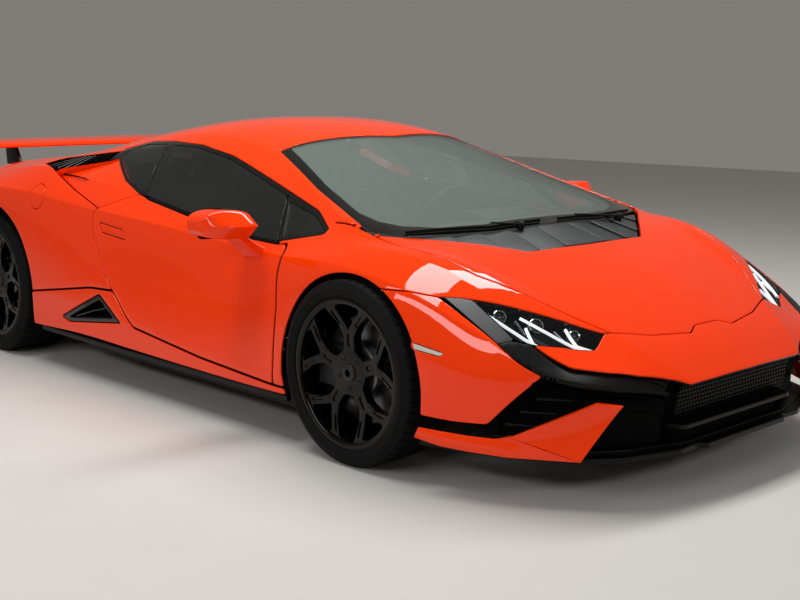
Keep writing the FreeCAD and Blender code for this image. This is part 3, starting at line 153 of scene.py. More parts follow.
def unit(vectors):
    """Vectors scaled to a length of one."""
    return vectors / np.maximum(np.linalg.norm(vectors, axis=-1, keepdims=True), 1e-9)


def slopes_of(surface, a, b, step_a=2.0, step_b=0.012):
    """A surface's two tangents by central differences, and its outward normal."""
    along = (surface(a + step_a, b) - surface(a - step_a, b)) / (2 * step_a)
    across = (surface(a, b + step_b) - surface(a, b - step_b)) / (2 * step_b)
    return along, across, unit(np.cross(along, across))


def sunk(surface, depth):
    """The same surface moved in along its normal; depth is a number or a function of the two parameters."""
    def lower(a, b):
        drop = depth(a, b) if callable(depth) else depth
        return surface(a, b) - np.asarray(drop)[..., None] * slopes_of(surface, a, b)[2]
    return lower


ALL_V = np.linspace(0, 7, 701)


def trace(points, axis):
    """Points (x, y) seen from above, or (x, z) seen from the side, as places (x, v) on the left half of the skin."""
    points = np.asarray(points, float)
    table = body(points[:, :1], ALL_V[None, :])[..., axis]
    wanted, last = points[:, 1:], len(ALL_V) - 1
    if axis == 1:
        i = np.clip(np.argmax(table >= wanted, axis=1), 1, last)
    else:
        i = np.clip(last - np.argmax((table > wanted)[:, ::-1], axis=1) + 1, 1, last)
        i = np.where((table > wanted).any(axis=1), i, 1)
    rows = np.arange(len(points))
    before, after = table[rows, i - 1], table[rows, i]
    share = np.clip((wanted[:, 0] - before) / np.where(np.abs(after - before) < 1e-6, 1e-6, after - before), 0, 1)
    return np.column_stack([points[:, 0], ALL_V[i - 1] + share * (ALL_V[i] - ALL_V[i - 1])])


def stepped(points, pitch=12.0):
    """Extra points along straight runs, none further apart than the pitch."""
    points = np.asarray(points, float)
    counts = np.maximum(np.ceil(np.linalg.norm(np.diff(points, axis=0), axis=1) / pitch).astype(int), 1)
    which = np.repeat(np.arange(len(counts)), counts)
    share = (np.arange(counts.sum()) - np.repeat(np.cumsum(counts) - counts, counts)) / counts[which]
    inner = points[which] + share[:, None] * (points[which + 1] - points[which])
    return np.vstack([inner, points[-1:]])


def seen_from(axis, *points):
    """A run of straight lines seen from above (axis 1) or from the side (axis 2), laid on the skin."""
    return trace(stepped(points), axis)


def from_top(*points):
    """A run of straight lines through points (x, y) seen from above."""
    return seen_from(1, *points)


def from_side(*points):
    """A run of straight lines through points (x, z) seen from the side."""
    return seen_from(2, *points)


def arc_side(centre, radius, start, end):
    """Part of a circle seen from the side, laid on the skin; angles in degrees from the front, upwards."""
    turn = np.radians(np.linspace(start, end, max(int(abs(end - start) * radius / 600), 6)))
    return trace(np.column_stack([centre[0] + radius * np.cos(turn), centre[1] + radius * np.sin(turn)]), 2)


def at_v(*points):
    """A run given directly by (x, v)."""
    return np.asarray(points, float)


def either_side(points):
    """Points (x, y) seen from above on either half of the skin, as places (x, v); v is below zero on the right."""
    return trace(np.abs(points), 1) * np.column_stack([np.ones(len(points)), np.where(points[:, 1] < 0, -1, 1)])


def ring(*chains):
    """An outline made of several runs, one after another."""
    return np.vstack(chains)


def whole(chain):
    """A left half outline, from the centre line round to the centre line, closed with its mirror image."""
    return np.vstack([chain, (chain * [1, -1])[::-1]])


def run_length(points):
    """How far along a run each of its points lies."""
    return np.append(0, np.cumsum(np.linalg.norm(np.diff(points, axis=0), axis=1)))


def spaced(points, length, count):
    """Places at even distances along a run, whose length up to each point is given."""
    marks = np.linspace(0, length[-1], count, endpoint=False)
    return np.column_stack([np.interp(marks, length, points[:, c]) for c in (0, 1)])


def smoothed(loop, passes):
    """A closed outline whose points are drawn towards their neighbours, so that its corners ease."""
    for _ in range(passes):
        loop = (np.roll(loop, 1, axis=0) + 2 * loop + np.roll(loop, -1, axis=0)) / 4
    return loop


def evened(loop, surface, pitch=8.0, passes=2, scale=LINE_SCALE):
    """A closed outline with points at an even distance on the surface, its corners eased a little."""
    closed = np.vstack([loop, loop[:1]])
    closed = closed[np.append(True, np.abs(np.diff(closed, axis=0)).sum(axis=1) > 1e-6)]
    dense = stepped(closed * [1, scale], 10.0) / [1, scale]
    length = run_length(surface(*dense.T))
    even = smoothed(spaced(dense, length, max(int(length[-1] / pitch), 12)), passes)
    area = np.sum(even[:, 0] * np.roll(even[:, 1], -1) - np.roll(even[:, 0], -1) * even[:, 1])
    return even if area > 0 else even[::-1]


def edge_frame(loop, surface):
    """Along a closed outline: the point, the normal, and the way out of the panel in its surface."""
    a, b = loop.T
    along, across, normal = slopes_of(surface, a, b)
    point = surface(a, b)
    run = np.roll(point, -1, axis=0) - np.roll(point, 1, axis=0)
    run = unit(run - (run * normal).sum(-1, keepdims=True) * normal)
    return point, normal, np.cross(run, normal), along, across


def drawn_in(loop, surface, distance):
    """The outline moved into the panel by a distance, measured on the surface, in small steps so that it crosses
    a fold where the surface's own measure changes."""
    steps = max(int(abs(distance) / 1.2), 1)
    for _ in range(steps):
        _, _, out, along, across = edge_frame(loop, surface)
        move = -distance / steps * out
        aa, bb, ab = (along**2).sum(-1), (across**2).sum(-1), (along * across).sum(-1)
        ma, mb = (along * move).sum(-1), (across * move).sum(-1)
        det = np.maximum(aa * bb - ab**2, 1e-9)
        loop = loop + np.column_stack([(ma * bb - mb * ab) / det, (mb * aa - ma * ab) / det])
    return loop


def with_crossings(loop, rows):
    """The outline with a point exactly on each fine row that it crosses."""
    for value in rows:
        after = np.roll(loop, -1, axis=0)
        cut = np.nonzero((loop[:, 1] < value) != (after[:, 1] < value))[0]
        share = (value - loop[cut, 1]) / (after[cut, 1] - loop[cut, 1])
        new = loop[cut] + share[:, None] * (after[cut] - loop[cut])
        new[:, 1] = value
        keep = (share > 0.02) & (share < 0.98)
        loop = np.insert(loop, cut[keep] + 1, new[keep], axis=0)
    return loop


def crossing_marks(loops, value, axis):
    """Where the outlines cross a line of constant a (axis 0) or b (axis 1), in order along it."""
    marks = []
    for loop in loops:
        p, q = loop, np.roll(loop, -1, axis=0)
        cut = (p[:, axis] <= value) != (q[:, axis] <= value)
        share = (value - p[cut, axis]) / (q[cut, axis] - p[cut, axis])
        marks.append(p[cut, 1 - axis] + share * (q[cut, 1 - axis] - p[cut, 1 - axis]))
    return np.sort(np.concatenate(marks))


BODY_ROWS = np.unique(np.round(np.concatenate(
    [k + np.array([-FINE, 0, FINE, 0.14, 0.26, 0.38, 0.5, 0.62, 0.74, 0.86]) for k in range(1, 7)]
    + [np.array([0, 0.12, 0.25, 0.38, 0.5, 0.62, 0.75, 0.88, 7 - FINE, 7])]), 4))
BODY_ROWS = np.unique(np.concatenate([-BODY_ROWS, BODY_ROWS]))
FOLD_ROWS = np.array([s * (k + f) for k in range(1, 7) for f in (-FINE, 0, FINE) for s in (1, -1)])


def between_marks(marks, values):
    """Which values lie after an odd number of marks, and how far each is from its nearest mark."""
    place, last = np.searchsorted(marks, values), len(marks) - 1
    near = np.minimum(np.abs(marks[np.clip(place - 1, 0, last)] - values),
                      np.abs(marks[np.clip(place, 0, last)] - values))
    return place % 2 == 1, near


def inside_marks(points, loops):
    """Whether each point lies inside the outlines, holes left out, by counting crossings to one side."""
    inside = np.zeros(len(points), bool)
    for loop in loops:
        p, q = loop, np.roll(loop, -1, axis=0)
        for low in range(0, len(points), 4000):
            part = points[low:low + 4000]
            cut = (p[None, :, 1] <= part[:, None, 1]) != (q[None, :, 1] <= part[:, None, 1])
            rise = np.where(q[:, 1] == p[:, 1], 1.0, q[:, 1] - p[:, 1])
            reach = p[None, :, 0] + (part[:, None, 1] - p[None, :, 1]) / rise * (q[:, 0] - p[:, 0])[None, :]
            inside[low:low + 4000] ^= ((cut & (reach > part[:, None, 0])).sum(axis=1) % 2).astype(bool)
    return inside


def trimmed_mesh(loops, surface, columns, rows, folds, scale):
    """Triangles that fill the outlines: grid points of the rows and columns inside them, joined to the outlines,
    with the fold rows kept as edges. Returns places (a, b) and triangles."""
    low, high = loops[0].min(axis=0), loops[0].max(axis=0)
    columns = columns[(columns > low[0]) & (columns < high[0])]
    rows = rows[(rows > low[1]) & (rows < high[1])]
    grid = np.zeros((len(rows), len(columns)), bool)
    for number, value in enumerate(rows):
        marks = crossing_marks(loops, value, 1)
        if len(marks):
            within, near = between_marks(marks, columns)
            grid[number] = within & (near > CLEAR_ALONG)
    for number, value in enumerate(columns):
        marks = crossing_marks(loops, value, 0)
        if len(marks):
            grid[:, number] &= between_marks(marks, rows)[1] * scale > CLEAR_ACROSS
    r, c = np.nonzero(grid)
    points = np.vstack(list(loops) + [np.column_stack([columns[c], rows[r]])])
    edges, start = [], 0
    for loop in loops:
        index = np.arange(start, start + len(loop))
        edges.append(np.column_stack([index, np.roll(index, -1)]))
        start += len(loop)
    for value in folds[(folds > low[1]) & (folds < high[1])]:
        on = np.nonzero(np.abs(points[:, 1] - value) < 1e-7)[0]
        on = on[np.argsort(points[on, 0])]
        if len(on) > 1:
            middle = (points[on[:-1], 0] + points[on[1:], 0]) / 2
            marks = crossing_marks(loops, value + 1e-6, 1)
            keep = (np.searchsorted(marks, middle) % 2 == 1) & (np.diff(points[on, 0]) < 3 * MESH_PITCH)
            edges.append(np.column_stack([on[:-1], on[1:]])[keep])
    edges = np.vstack(edges)
    result = delaunay_2d_cdt((points * [1, scale]).tolist(), edges.tolist(), [], 1, 1e-4)
    places = np.array([tuple(p) for p in result[0]]) / [1, scale]
    triangles = np.array([f[:3] for f in result[2] if len(f) == 3], int)
    if len(loops) > 1:
        triangles = triangles[inside_marks(places[triangles].mean(axis=1), loops)]
    a, b, c = (places[triangles[:, n]] for n in range(3))
    turn = (b[:, 0] - a[:, 0]) * (c[:, 1] - a[:, 1]) - (b[:, 1] - a[:, 1]) * (c[:, 0] - a[:, 0])
    triangles = np.where(turn[:, None] > 0, triangles, triangles[:, ::-1])
    return places, triangles


def strip(rows, closed=True):
    """Triangles between rows of points: rows (m, n, 3), joined along each row, closed round when asked."""
    m, n = rows.shape[:2]
    i = np.arange(m - 1)[:, None]
    j = np.arange(n if closed else n - 1)[None, :]
    a, b = i * n + j, i * n + (j + 1) % n
    c, d = a + n, b + n
    first = np.stack([a, b, d], axis=-1).reshape(-1, 3)
    second = np.stack([a, d, c], axis=-1).reshape(-1, 3)
    return rows.reshape(-1, 3), np.vstack([first, second])


def panel(outlines, surface=body, depth=12.0, gap=SHUT_GAP, edge=EDGE_ROUND, columns=BODY_COLUMNS, rows=BODY_ROWS,
          folds=FOLD_ROWS, scale=LINE_SCALE, pitch=8.0, passes=2, back=1):
    """A pressed panel: the skin inside its outlines, a quarter-round edge of the given radius, walls down to the
    depth, and the same skin again on its inner side. Outlines after the first are holes.
    Returns parts (points, triangles, finish number); back is the finish of the inner side."""
    loops = []
    for number, outline in enumerate(outlines):
        loop = evened(outline, surface, pitch, passes, scale)
        if number:
            loop = loop[::-1]
        loop = drawn_in(loop, surface, gap / 2 + edge)
        loops.append(with_crossings(loop, folds))
    places, triangles = trimmed_mesh(loops, surface, columns, rows, folds, scale)
    a, b = places.T
    top = surface(a, b)
    normal = slopes_of(surface, a, b)[2]
    parts = [(top, triangles, 0), (top - depth * normal, triangles[:, ::-1], back)]
    for loop in loops:
        point, up, out, _, _ = edge_frame(loop, surface)
        turns = np.radians([0, 22, 45, 68, 90])
        seen = [(edge * math.sin(t), edge * (1 - math.cos(t))) for t in turns] + [(edge, min(edge + 3, depth))]
        hidden = [(edge, min(edge + 3, depth)), (edge, depth), (0, depth)]
        for profile, number in ((seen, 0), (hidden, back)):
            points, faces = strip(np.stack([point + o * out - d * up for o, d in profile]))
            parts.append((points, faces[:, ::-1], number))
    return parts


def inset(outline, distance, surface=body, pitch=8.0, scale=LINE_SCALE):
    """An outline moved inwards by a distance, to serve as another outline."""
    return drawn_in(evened(outline, surface, pitch, 2, scale), surface, distance)


def wall_band(outline, surface, profile, pitch=8.0, scale=LINE_SCALE, number=0):
    """A closed band that follows an outline; the profile gives (outwards, down) for each of its rows."""
    point, up, out, _, _ = edge_frame(evened(outline, surface, pitch, 2, scale), surface)
    points, faces = strip(np.stack([point + o * out - d * up for o, d in profile]))
    return [(points, faces, number)]


def plane(origin, a_way, b_way):
    """A flat surface through a point along two ways."""
    origin, a_way, b_way = (np.asarray(v, float) for v in (origin, a_way, b_way))

    def flat(a, b):
        a, b = matched(a, b)
        return origin + a[..., None] * a_way + b[..., None] * b_way
    return flat


NONE = np.array([])


def plate(outlines, surface, depth, edge=1.0, pitch=4.0, passes=1, gap=0.0):
    """A flat or slightly curved plate on its own surface in millimetres, with rounded front edges."""
    return panel(outlines, surface, depth, gap, edge, NONE, NONE, NONE, 1.0, pitch, passes, 0)


def swept(path, outline, up=(0, 0, 1), closed=False, sizes=None, number=0):
    """A closed outline (across, up) carried along a path, square to it; sizes scale it along the way."""
    path, outline = np.asarray(path, float), np.asarray(outline, float)
    run = np.roll(path, -1, 0) - np.roll(path, 1, 0) if closed else np.gradient(path, axis=0)
    run = unit(run)
    across = unit(np.cross(run, np.asarray(up, float)))
    rise = np.cross(across, run)
    sizes = np.ones((len(path), 2)) if sizes is None else np.asarray(sizes, float)
    rows = (path[:, None] + (sizes[:, :1] * outline[None, :, 0])[..., None] * across[:, None]
            + (sizes[:, 1:] * outline[None, :, 1])[..., None] * rise[:, None])
    if closed:
        points, faces = strip(np.concatenate([rows, rows[:1]]))
        return [(points, faces, number)]
    points, faces = strip(rows)
    n, count = rows.shape[1], len(points)
    first, last = np.arange(n), np.arange(count - n, count)
    ends = np.stack([rows[0].mean(axis=0), rows[-1].mean(axis=0)])
    caps = np.vstack([np.column_stack([np.roll(first, -1), first, np.full(n, count)]),
                      np.column_stack([last, np.roll(last, -1), np.full(n, count + 1)])])
    return [(np.vstack([points, ends]), np.vstack([faces, caps]), number)]


def rounded(width, height, radius, steps=4):
    """A rectangle with rounded corners, as (across, up)."""
    turn = np.radians(np.linspace(0, 90, steps))
    corners = []
    for number, (sx, sy) in enumerate(((1, 1), (-1, 1), (-1, -1), (1, -1))):
        angle = turn + number * np.pi / 2
        corners.append(np.column_stack([sx * (width / 2 - radius) + radius * np.cos(angle),
                                        sy * (height / 2 - radius) + radius * np.sin(angle)]))
    return np.vstack(corners)


def turned(profile, origin, axis=(0, 1, 0), segments=48, number=0):
    """A profile of (radius, along the axis) turned round an axis; it is closed unless both its ends lie on it."""
    axis = unit(np.asarray(axis, float))
    side = unit(np.cross(axis, (1.0, 0, 0) if abs(axis[2]) > 0.9 else (0, 0, 1.0)))
    other = np.cross(axis, side)
    profile = np.asarray(profile, float)
    angle = np.linspace(0, 2 * np.pi, segments, endpoint=False)
    way = np.cos(angle)[:, None] * side + np.sin(angle)[:, None] * other
    rows = np.asarray(origin, float) + profile[None, :, :1] * way[:, None] + profile[None, :, 1:] * axis
    points, faces = strip(np.concatenate([rows, rows[:1]]), profile[0, 0] > 0 or profile[-1, 0] > 0)
    return [(points, faces, number)]


def circle(radius, count=72, centre=(0, 0)):
    """A circle as (across, up)."""
    angle = np.linspace(0, 2 * np.pi, count, endpoint=False)
    return np.column_stack([centre[0] + radius * np.cos(angle), centre[1] + radius * np.sin(angle)])


def blended(corners, bulge=0.0):
    """A four-cornered patch: straight between its edges, with a bulge along its normal in the middle."""
    p = np.asarray(corners, float)
    normal = unit(np.cross(p[1] - p[0], p[3] - p[0]))

    def patch(a, b):
        a, b = (share[..., None] for share in matched(a, b))
        flat = p[0] * (1 - a) * (1 - b) + p[1] * a * (1 - b) + p[2] * a * b + p[3] * (1 - a) * b
        return flat + bulge * 16 * a * (1 - a) * b * (1 - b) * normal
    return patch


def shell(surface, na, nb, depth, number=0):
    """A patch over the unit square, with its back at a depth and closed edges."""
    a, b = np.meshgrid(np.linspace(0, 1, na), np.linspace(0, 1, nb), indexing="ij")
    top = surface(a, b)
    normal = slopes_of(surface, a, b, 0.01, 0.01)[2]
    low = top - depth * normal
    faces_top = strip(top, False)[1]
    points = np.vstack([top.reshape(-1, 3), low.reshape(-1, 3)])
    count = na * nb
    index = np.arange(count).reshape(na, nb)
    rim = np.concatenate([index[:, 0], index[-1, 1:], index[-2::-1, -1], index[0, -2:0:-1]])
    after = np.roll(rim, -1)
    wall = np.vstack([np.column_stack([rim, after, after + count]),
                      np.column_stack([rim, after + count, rim + count])])
    return [(points, np.vstack([faces_top, faces_top[:, ::-1] + count, wall]), number)]


def mirrored(parts):
    """The same parts on the other side of the centre plane."""
    return [(points * [1, -1, 1], faces[:, ::-1], number) for points, faces, number in parts]


MATERIALS = {}


def piece(name, parts, materials, rides, replaces=(), slot=None, smooth=38, weld=0.02, outward=False):
    """One object from parts in millimetres: points merged within the weld distance, faces smooth up to an angle."""
    counts = np.cumsum([0] + [len(points) for points, _, _ in parts])
    points = np.vstack([points for points, _, _ in parts]) * MM
    faces = np.vstack([faces + start for (_, faces, _), start in zip(parts, counts)])
    numbers = np.concatenate([np.full(len(faces_of), number) for _, faces_of, number in parts])
    mesh = bpy.data.meshes.new(name)
    mesh.from_pydata(points.tolist(), [], faces.tolist())
    mesh.polygons.foreach_set("material_index", numbers.astype(np.int32))
    for material in materials:
        mesh.materials.append(MATERIALS[material])
    work = bmesh.new()
    work.from_mesh(mesh)
    if weld:
        bmesh.ops.remove_doubles(work, verts=work.verts, dist=weld * MM)
    bmesh.ops.dissolve_degenerate(work, edges=work.edges, dist=1e-7)
    if outward:
        bmesh.ops.recalc_face_normals(work, faces=work.faces)
    work.to_mesh(mesh)
    work.free()
    mesh.polygons.foreach_set("use_smooth", np.ones(len(mesh.polygons), bool))
    mesh.set_sharp_from_angle(angle=math.radians(smooth))
    mesh.update()
    thing = bpy.data.objects.new(name, mesh)
    bpy.context.scene.collection.objects.link(thing)
    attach(thing, rides)
    if replaces:
        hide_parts(*replaces)
    return thing


# ---------------------------------------------------------------- materials


def linear(code):
    """A colour written as sRGB hex, turned to linear light."""
    channels = [int(code[i:i + 2], 16) / 255 for i in (1, 3, 5)]
    return tuple(c / 12.92 if c <= 0.04045 else ((c + 0.055) / 1.055) ** 2.4 for c in channels) + (1.0,)


def add(tree, kind, settings=None, **inputs):
    """One node with its settings; an input given as a socket is linked and any other value is set."""
    made = tree.nodes.new(kind)
    for name, value in (settings or {}).items():
        setattr(made, name, value)
    for name, value in inputs.items():
        by_number = name[0] == "n" and name[1:].isdigit()
        socket = made.inputs[int(name[1:]) if by_number else name.replace("_", " ")]
        if isinstance(value, bpy.types.NodeSocket):
            tree.links.new(value, socket)
        else:
            socket.default_value = value
    return made


def finish(name, colours, rough, rough_spread=0.05, grain=0.002, bump=0.05, bump_grain=None, **surface):
    """A material: two close colours mixed by a soft noise of the grain's size (metres), the same noise on the
    roughness, and a fine bump."""
    material = bpy.data.materials.new(name)
    material.use_nodes = True
    tree = material.node_tree
    shader = tree.nodes["Principled BSDF"]
    place = add(tree, "ShaderNodeTexCoord").outputs["Object"]
    noise = add(tree, "ShaderNodeTexNoise", Vector=place, Scale=1 / grain, Detail=4.0, Roughness=0.6)
    mix = add(tree, "ShaderNodeMix", {"data_type": "RGBA"}, n0=noise.outputs["Fac"], n6=linear(colours[0]),
              n7=linear(colours[1]))
    tree.links.new(mix.outputs[2], shader.inputs["Base Color"])
    spread = add(tree, "ShaderNodeMapRange", n0=noise.outputs["Fac"], n1=0.3, n2=0.7,
                 n3=max(rough - rough_spread, 0), n4=rough + rough_spread)
    tree.links.new(spread.outputs[0], shader.inputs["Roughness"])
    if bump:
        fine = add(tree, "ShaderNodeTexNoise", Vector=place, Scale=1 / (bump_grain or grain), Detail=3.0)
        rise = add(tree, "ShaderNodeBump", Strength=bump, Distance=0.001, Height=fine.outputs["Fac"])
        tree.links.new(rise.outputs["Normal"], shader.inputs["Normal"])
    for key, value in surface.items():
        shader.inputs[key.replace("_", " ")].default_value = value
    MATERIALS[name] = material
    return material


# Orange pearl lacquer over primed aluminium and plastic: deep clear coat, very slight orange peel about 6 mm wide.
finish("orange_lacquer", ("#FF3E00", "#F73800"), 0.4, 0.03, grain=0.0015, bump=0.005, bump_grain=0.006,
       Coat_Weight=1.0, Coat_Roughness=0.015, Coat_IOR=1.4, Specular_IOR_Level=0.0)
# Lacquer on the inner side of a lid or door: the same colour with a thinner, duller coat.
finish("orange_inner", ("#E03A0A", "#D83506"), 0.45, 0.05, grain=0.004, bump=0.05, Coat_Weight=0.3,
       Coat_Roughness=0.2)
# Piano black moulded plastic and lacquered alloy: near-black, mirror-like, faint polish haze.
finish("gloss_black", ("#040404", "#080809"), 0.1, 0.04, grain=0.003, bump=0.01, Coat_Weight=0.5, Coat_Roughness=0.03,
       Specular_IOR_Level=0.2)
# Lacquered black alloy of the wheels.
finish("black_alloy", ("#030303", "#060607"), 0.18, 0.05, grain=0.004, bump=0.02, Coat_Weight=0.28,
       Coat_Roughness=0.05, Specular_IOR_Level=0.08)
# Grained black moulded plastic of splitter, sills' skirts and intakes: fine leather-like grain of about 1 mm.
finish("moulded_black", ("#060606", "#0C0C0D"), 0.5, 0.08, grain=0.001, bump=0.35, Specular_IOR_Level=0.18)
# Satin black plastic of the nose arms, splitter and grilles: smoother than the intakes' lining.
finish("satin_black", ("#040404", "#080809"), 0.3, 0.06, grain=0.002, bump=0.08, Specular_IOR_Level=0.16)
# Projector lens: dark glass ball over a black shutter.
finish("projector_glass", ("#101418", "#161B20"), 0.02, 0.01, grain=0.01, bump=0, Coat_Weight=1.0, IOR=1.5)
# Charcoal satin plastic of the cowl below the windscreen.
finish("charcoal_satin", ("#26282A", "#2D2F31"), 0.42, 0.06, grain=0.0012, bump=0.25)
# Dark window glass, tinted in the mass.
finish("tinted_glass", ("#0A0F0E", "#0C1211"), 0.02, 0.01, grain=0.05, bump=0, Alpha=0.62, IOR=1.52,
       Coat_Weight=1.0, Coat_Roughness=0.01)
# Clear laminated windscreen: a faint green-grey tint, with a light grey-green over a third of it as painted
# reflection.
finish("screen_tint_and_reflection", ("#8E9C95", "#94A29B"), 0.02, 0.01, grain=0.05, bump=0, Alpha=0.32, IOR=1.52,
       Coat_Weight=1.0, Coat_Roughness=0.01)
# Clear polycarbonate lamp cover.
finish("lamp_cover", ("#15181A", "#1B1F22"), 0.02, 0.01, grain=0.05, bump=0, Alpha=0.12, IOR=1.5,
       Coat_Weight=1.0, Coat_Roughness=0.01)
# White light guide: milky acrylic that is lit from behind.
finish("light_guide", ("#F4F7FA", "#FFFFFF"), 0.25, 0.05, grain=0.003, bump=0.02, Emission_Color=linear("#F2F6FF"),
       Emission_Strength=0.8)
# Vacuum-metallised reflector.
finish("reflector", ("#B9BDC2", "#C9CDD1"), 0.12, 0.04, grain=0.004, bump=0.02, Metallic=1.0)
# Red acrylic tail lamp.
finish("red_acrylic", ("#8E0A08", "#A30D0A"), 0.08, 0.03, grain=0.01, bump=0.01, Coat_Weight=1.0,
       Emission_Color=linear("#FF1A10"), Emission_Strength=0.7)
# Vulcanised tyre rubber: matte charcoal black with a dusty haze.
finish("tyre_rubber", ("#080809", "#0D0D0E"), 0.68, 0.08, grain=0.002, bump=0.3, Specular_IOR_Level=0.12)
# Cast iron brake disc, turned bright where the pads sweep it.
finish("disc_iron", ("#5C5D5F", "#747678"), 0.34, 0.08, grain=0.001, bump=0.12, Metallic=1.0)
# Painted brake caliper, deep gloss black.
finish("caliper_paint", ("#0A0A0A", "#101010"), 0.2, 0.05, grain=0.004, bump=0.03, Coat_Weight=0.5)
# Brushed stainless steel.
finish("stainless", ("#8C8D8F", "#A0A1A3"), 0.28, 0.08, grain=0.0008, bump=0.08, Metallic=1.0)
# Dark anodised aluminium and painted steel of suspension and floor.
finish("dark_steel", ("#2A2B2D", "#38393B"), 0.45, 0.1, grain=0.003, bump=0.2, Metallic=0.7)
# Black grained leather: pores of about 1.2 mm.
finish("black_leather", ("#141415", "#1D1D1F"), 0.48, 0.08, grain=0.0012, bump=0.5)
# Black woven microfibre: short nap.
finish("microfibre", ("#101011", "#1A1A1C"), 0.85, 0.05, grain=0.0006, bump=0.4, Sheen_Weight=0.4)
# Soft-touch dashboard moulding.
finish("dash_moulding", ("#161718", "#1E1F20"), 0.6, 0.08, grain=0.0012, bump=0.45)
# Cast aluminium engine block.
finish("cast_aluminium", ("#7E8083", "#93959A"), 0.5, 0.1, grain=0.003, bump=0.4, Metallic=0.9)
# Wiper blade rubber and arm.
finish("wiper_black", ("#060606", "#0C0C0C"), 0.5, 0.08, grain=0.002, bump=0.1, Specular_IOR_Level=0.2)
# Painted shade in the unlit depth behind openings, where the car has dark ducts: a near-black sheet giving back
# almost no light.
finish("painted_shade_black", ("#020202", "#050505"), 0.9, 0.05, grain=0.004, bump=0.2, Specular_IOR_Level=0.1)
# Mirror glass: silvered, with a slightly dark cast.
finish("mirror_glass", ("#9BA0A5", "#A5AAAF"), 0.03, 0.01, grain=0.02, bump=0, Metallic=1.0)
# Instrument and centre screens: black glass with a faint blue lift.
finish("display_glass", ("#07090C", "#0B0E12"), 0.06, 0.02, grain=0.02, bump=0, Coat_Weight=1.0)
# Orange stitching thread.
finish("orange_thread", ("#D8460A", "#E35410"), 0.7, 0.08, grain=0.0008, bump=0.3)
# Frosted side marker lamp.
finish("marker_lens", ("#C9C4BC", "#D6D1C8"), 0.18, 0.04, grain=0.004, bump=0.02, Coat_Weight=1.0)

SIDES = ((1, "left"), (-1, "right"))


def sided(parts, sign):
    """Parts of the left side as they are, or mirrored for the right side."""
    return parts if sign > 0 else mirrored(parts)


def pair(name, parts, materials, replaces, slot=None, rides="chassis", **style):
    """A piece on each side from the left one's parts; %s in a body's or a node's name stands for the side."""
    for sign, side in SIDES:
        named = [text.replace("%s", side) for text in (rides, *replaces)]
        piece(name + "_" + side, sided(parts, sign), materials, named[0], named[1:], slot, **style)


# Finishes of the outer and the inner faces of pieces that come up often.
PAINTED = ["orange_lacquer", "moulded_black"]
GLOSS = ["gloss_black", "gloss_black"]
SATIN = ["satin_black", "satin_black"]
# A near-black sheet of painted shade, for the depths behind openings.
SHADE_SHEET = ["painted_shade_black", "painted_shade_black"]
TINTED = ["tinted_glass", "tinted_glass"]


# ---------------------------------------------------------------- shut lines, as (x, z) or (x, y) points

DOOR_REAR = ((-411, 773), (-437, 745), (-423, 654), (-384, 592), (-328, 502), (-251, 433))
DOOR_FOOT = ((-251, 433), (-141, 339), (-75, 297), (412, 246), (873, 219))
DOOR_FRONT = ((873, 219), (872, 345), (874, 494), (862, 619), (872, 700), (850, 730), (805, 724))
DOOR_TOP = ((805, 724), (586, 734), (306, 772), (-104, 827), (-130, 836), (-181, 845), (-411, 773))
GLASS_TOP = ((-225, 1049), (-14, 1041), (216, 1004), (471, 940), (680, 886))
HOOD_SIDE = ((1225, 762), (1377, 757), (1674, 708), (1854, 600), (2038, 465))
HOOD_NOSE = ((2038, 465), (2090, 315), (2122, 125), (2096, 68), (2096, 0))
HOOD_INNER = ((1586, 0), (1574, 337), (1378, 585), (1302, 688))
SCREEN_FOOT = ((1198, 752), (1284, 686), (1350, 504), (1388, 305), (1394, 0))
SCREEN_HEAD = ((532, 0), (480, 319), (432, 545))
FRONT_ARCH, FRONT_ARCH_RADIUS = (1288, 316), 360
REAR_ARCH, REAR_ARCH_RADIUS = (-1340, 345.5), 396
RAMP_RIDGE = ((-853, 909), (-638, 836), (-411, 773))


# ---------------------------------------------------------------- nose, lamps and front intakes

ARM_TOP = ((1911, 3.64), (1955, 3.41), (2015, 3.50), (2081, 3.60), (2149, 3.72), (2200, 3.62), (2252, 3.3))
ARM_FOOT = ((2262, 3.42), (2205, 3.84), (2154, 3.93), (2085, 3.96), (2039, 4.13), (1892, 3.93))
LAMP_EDGE = ((1739, 3.33), (1802, 3.03), (1934, 2.08), (2031, 1.3), (2059, 2.42), (2025, 2.8), (1955, 3.38),
             (1911, 3.58))
TRIM_EDGE = ((1652, 3.66), (1739, 3.33), (1911, 3.58), (1911, 3.66), (1892, 3.93))
NOSE_FOOT = ((1955, 3.40), (2070, 3.44), (2140, 3.14), (2190, 2.78), (2235, 2.1), (2268, 1.22))
MARKER = from_side((1604, 487), (1734, 468), (1722, 457), (1615, 467))

hood = whole(ring(from_top(*HOOD_NOSE[::-1]), from_top(*HOOD_SIDE[::-1]), from_top(*HOOD_INNER[::-1])))
piece("hood_panel", panel([hood], depth=14), ["orange_lacquer", "orange_inner"], "hood_body", ["hood"], "paint")

fender = ring(from_side((878, 219), (878, 345), (880, 494), (868, 619), (878, 700), (858, 733), (806, 726)),
              from_side((806, 736), (1016, 776)), from_top((1016, 764), (1150, 762), (1225, 762)),
              from_top(*HOOD_SIDE), at_v((2031, 1.3), (1934, 2.08), (1802, 3.03), (1739, 3.33)),
              from_side((1655, 634), (1559, 645), (1442, 641)), arc_side(FRONT_ARCH, FRONT_ARCH_RADIUS, 64.6, 195.6))
cheek = ring(from_side((1442, 641), (1559, 645), (1655, 634)), at_v((1892, 3.93), (2039, 4.13)),
             from_side((2039, 424), (1963, 342), (1885, 257), (1772, 251), (1642, 251)),
             arc_side(FRONT_ARCH, FRONT_ARCH_RADIUS, -10.4, 64.6))
nose = whole(ring(from_top(*HOOD_NOSE[::-1]), at_v((2031, 1.3), (2059, 2.42), (2025, 2.8), (1955, 3.38)),
                  at_v(*NOSE_FOOT), at_v((2276, 0.6), (2280, 0.0))))
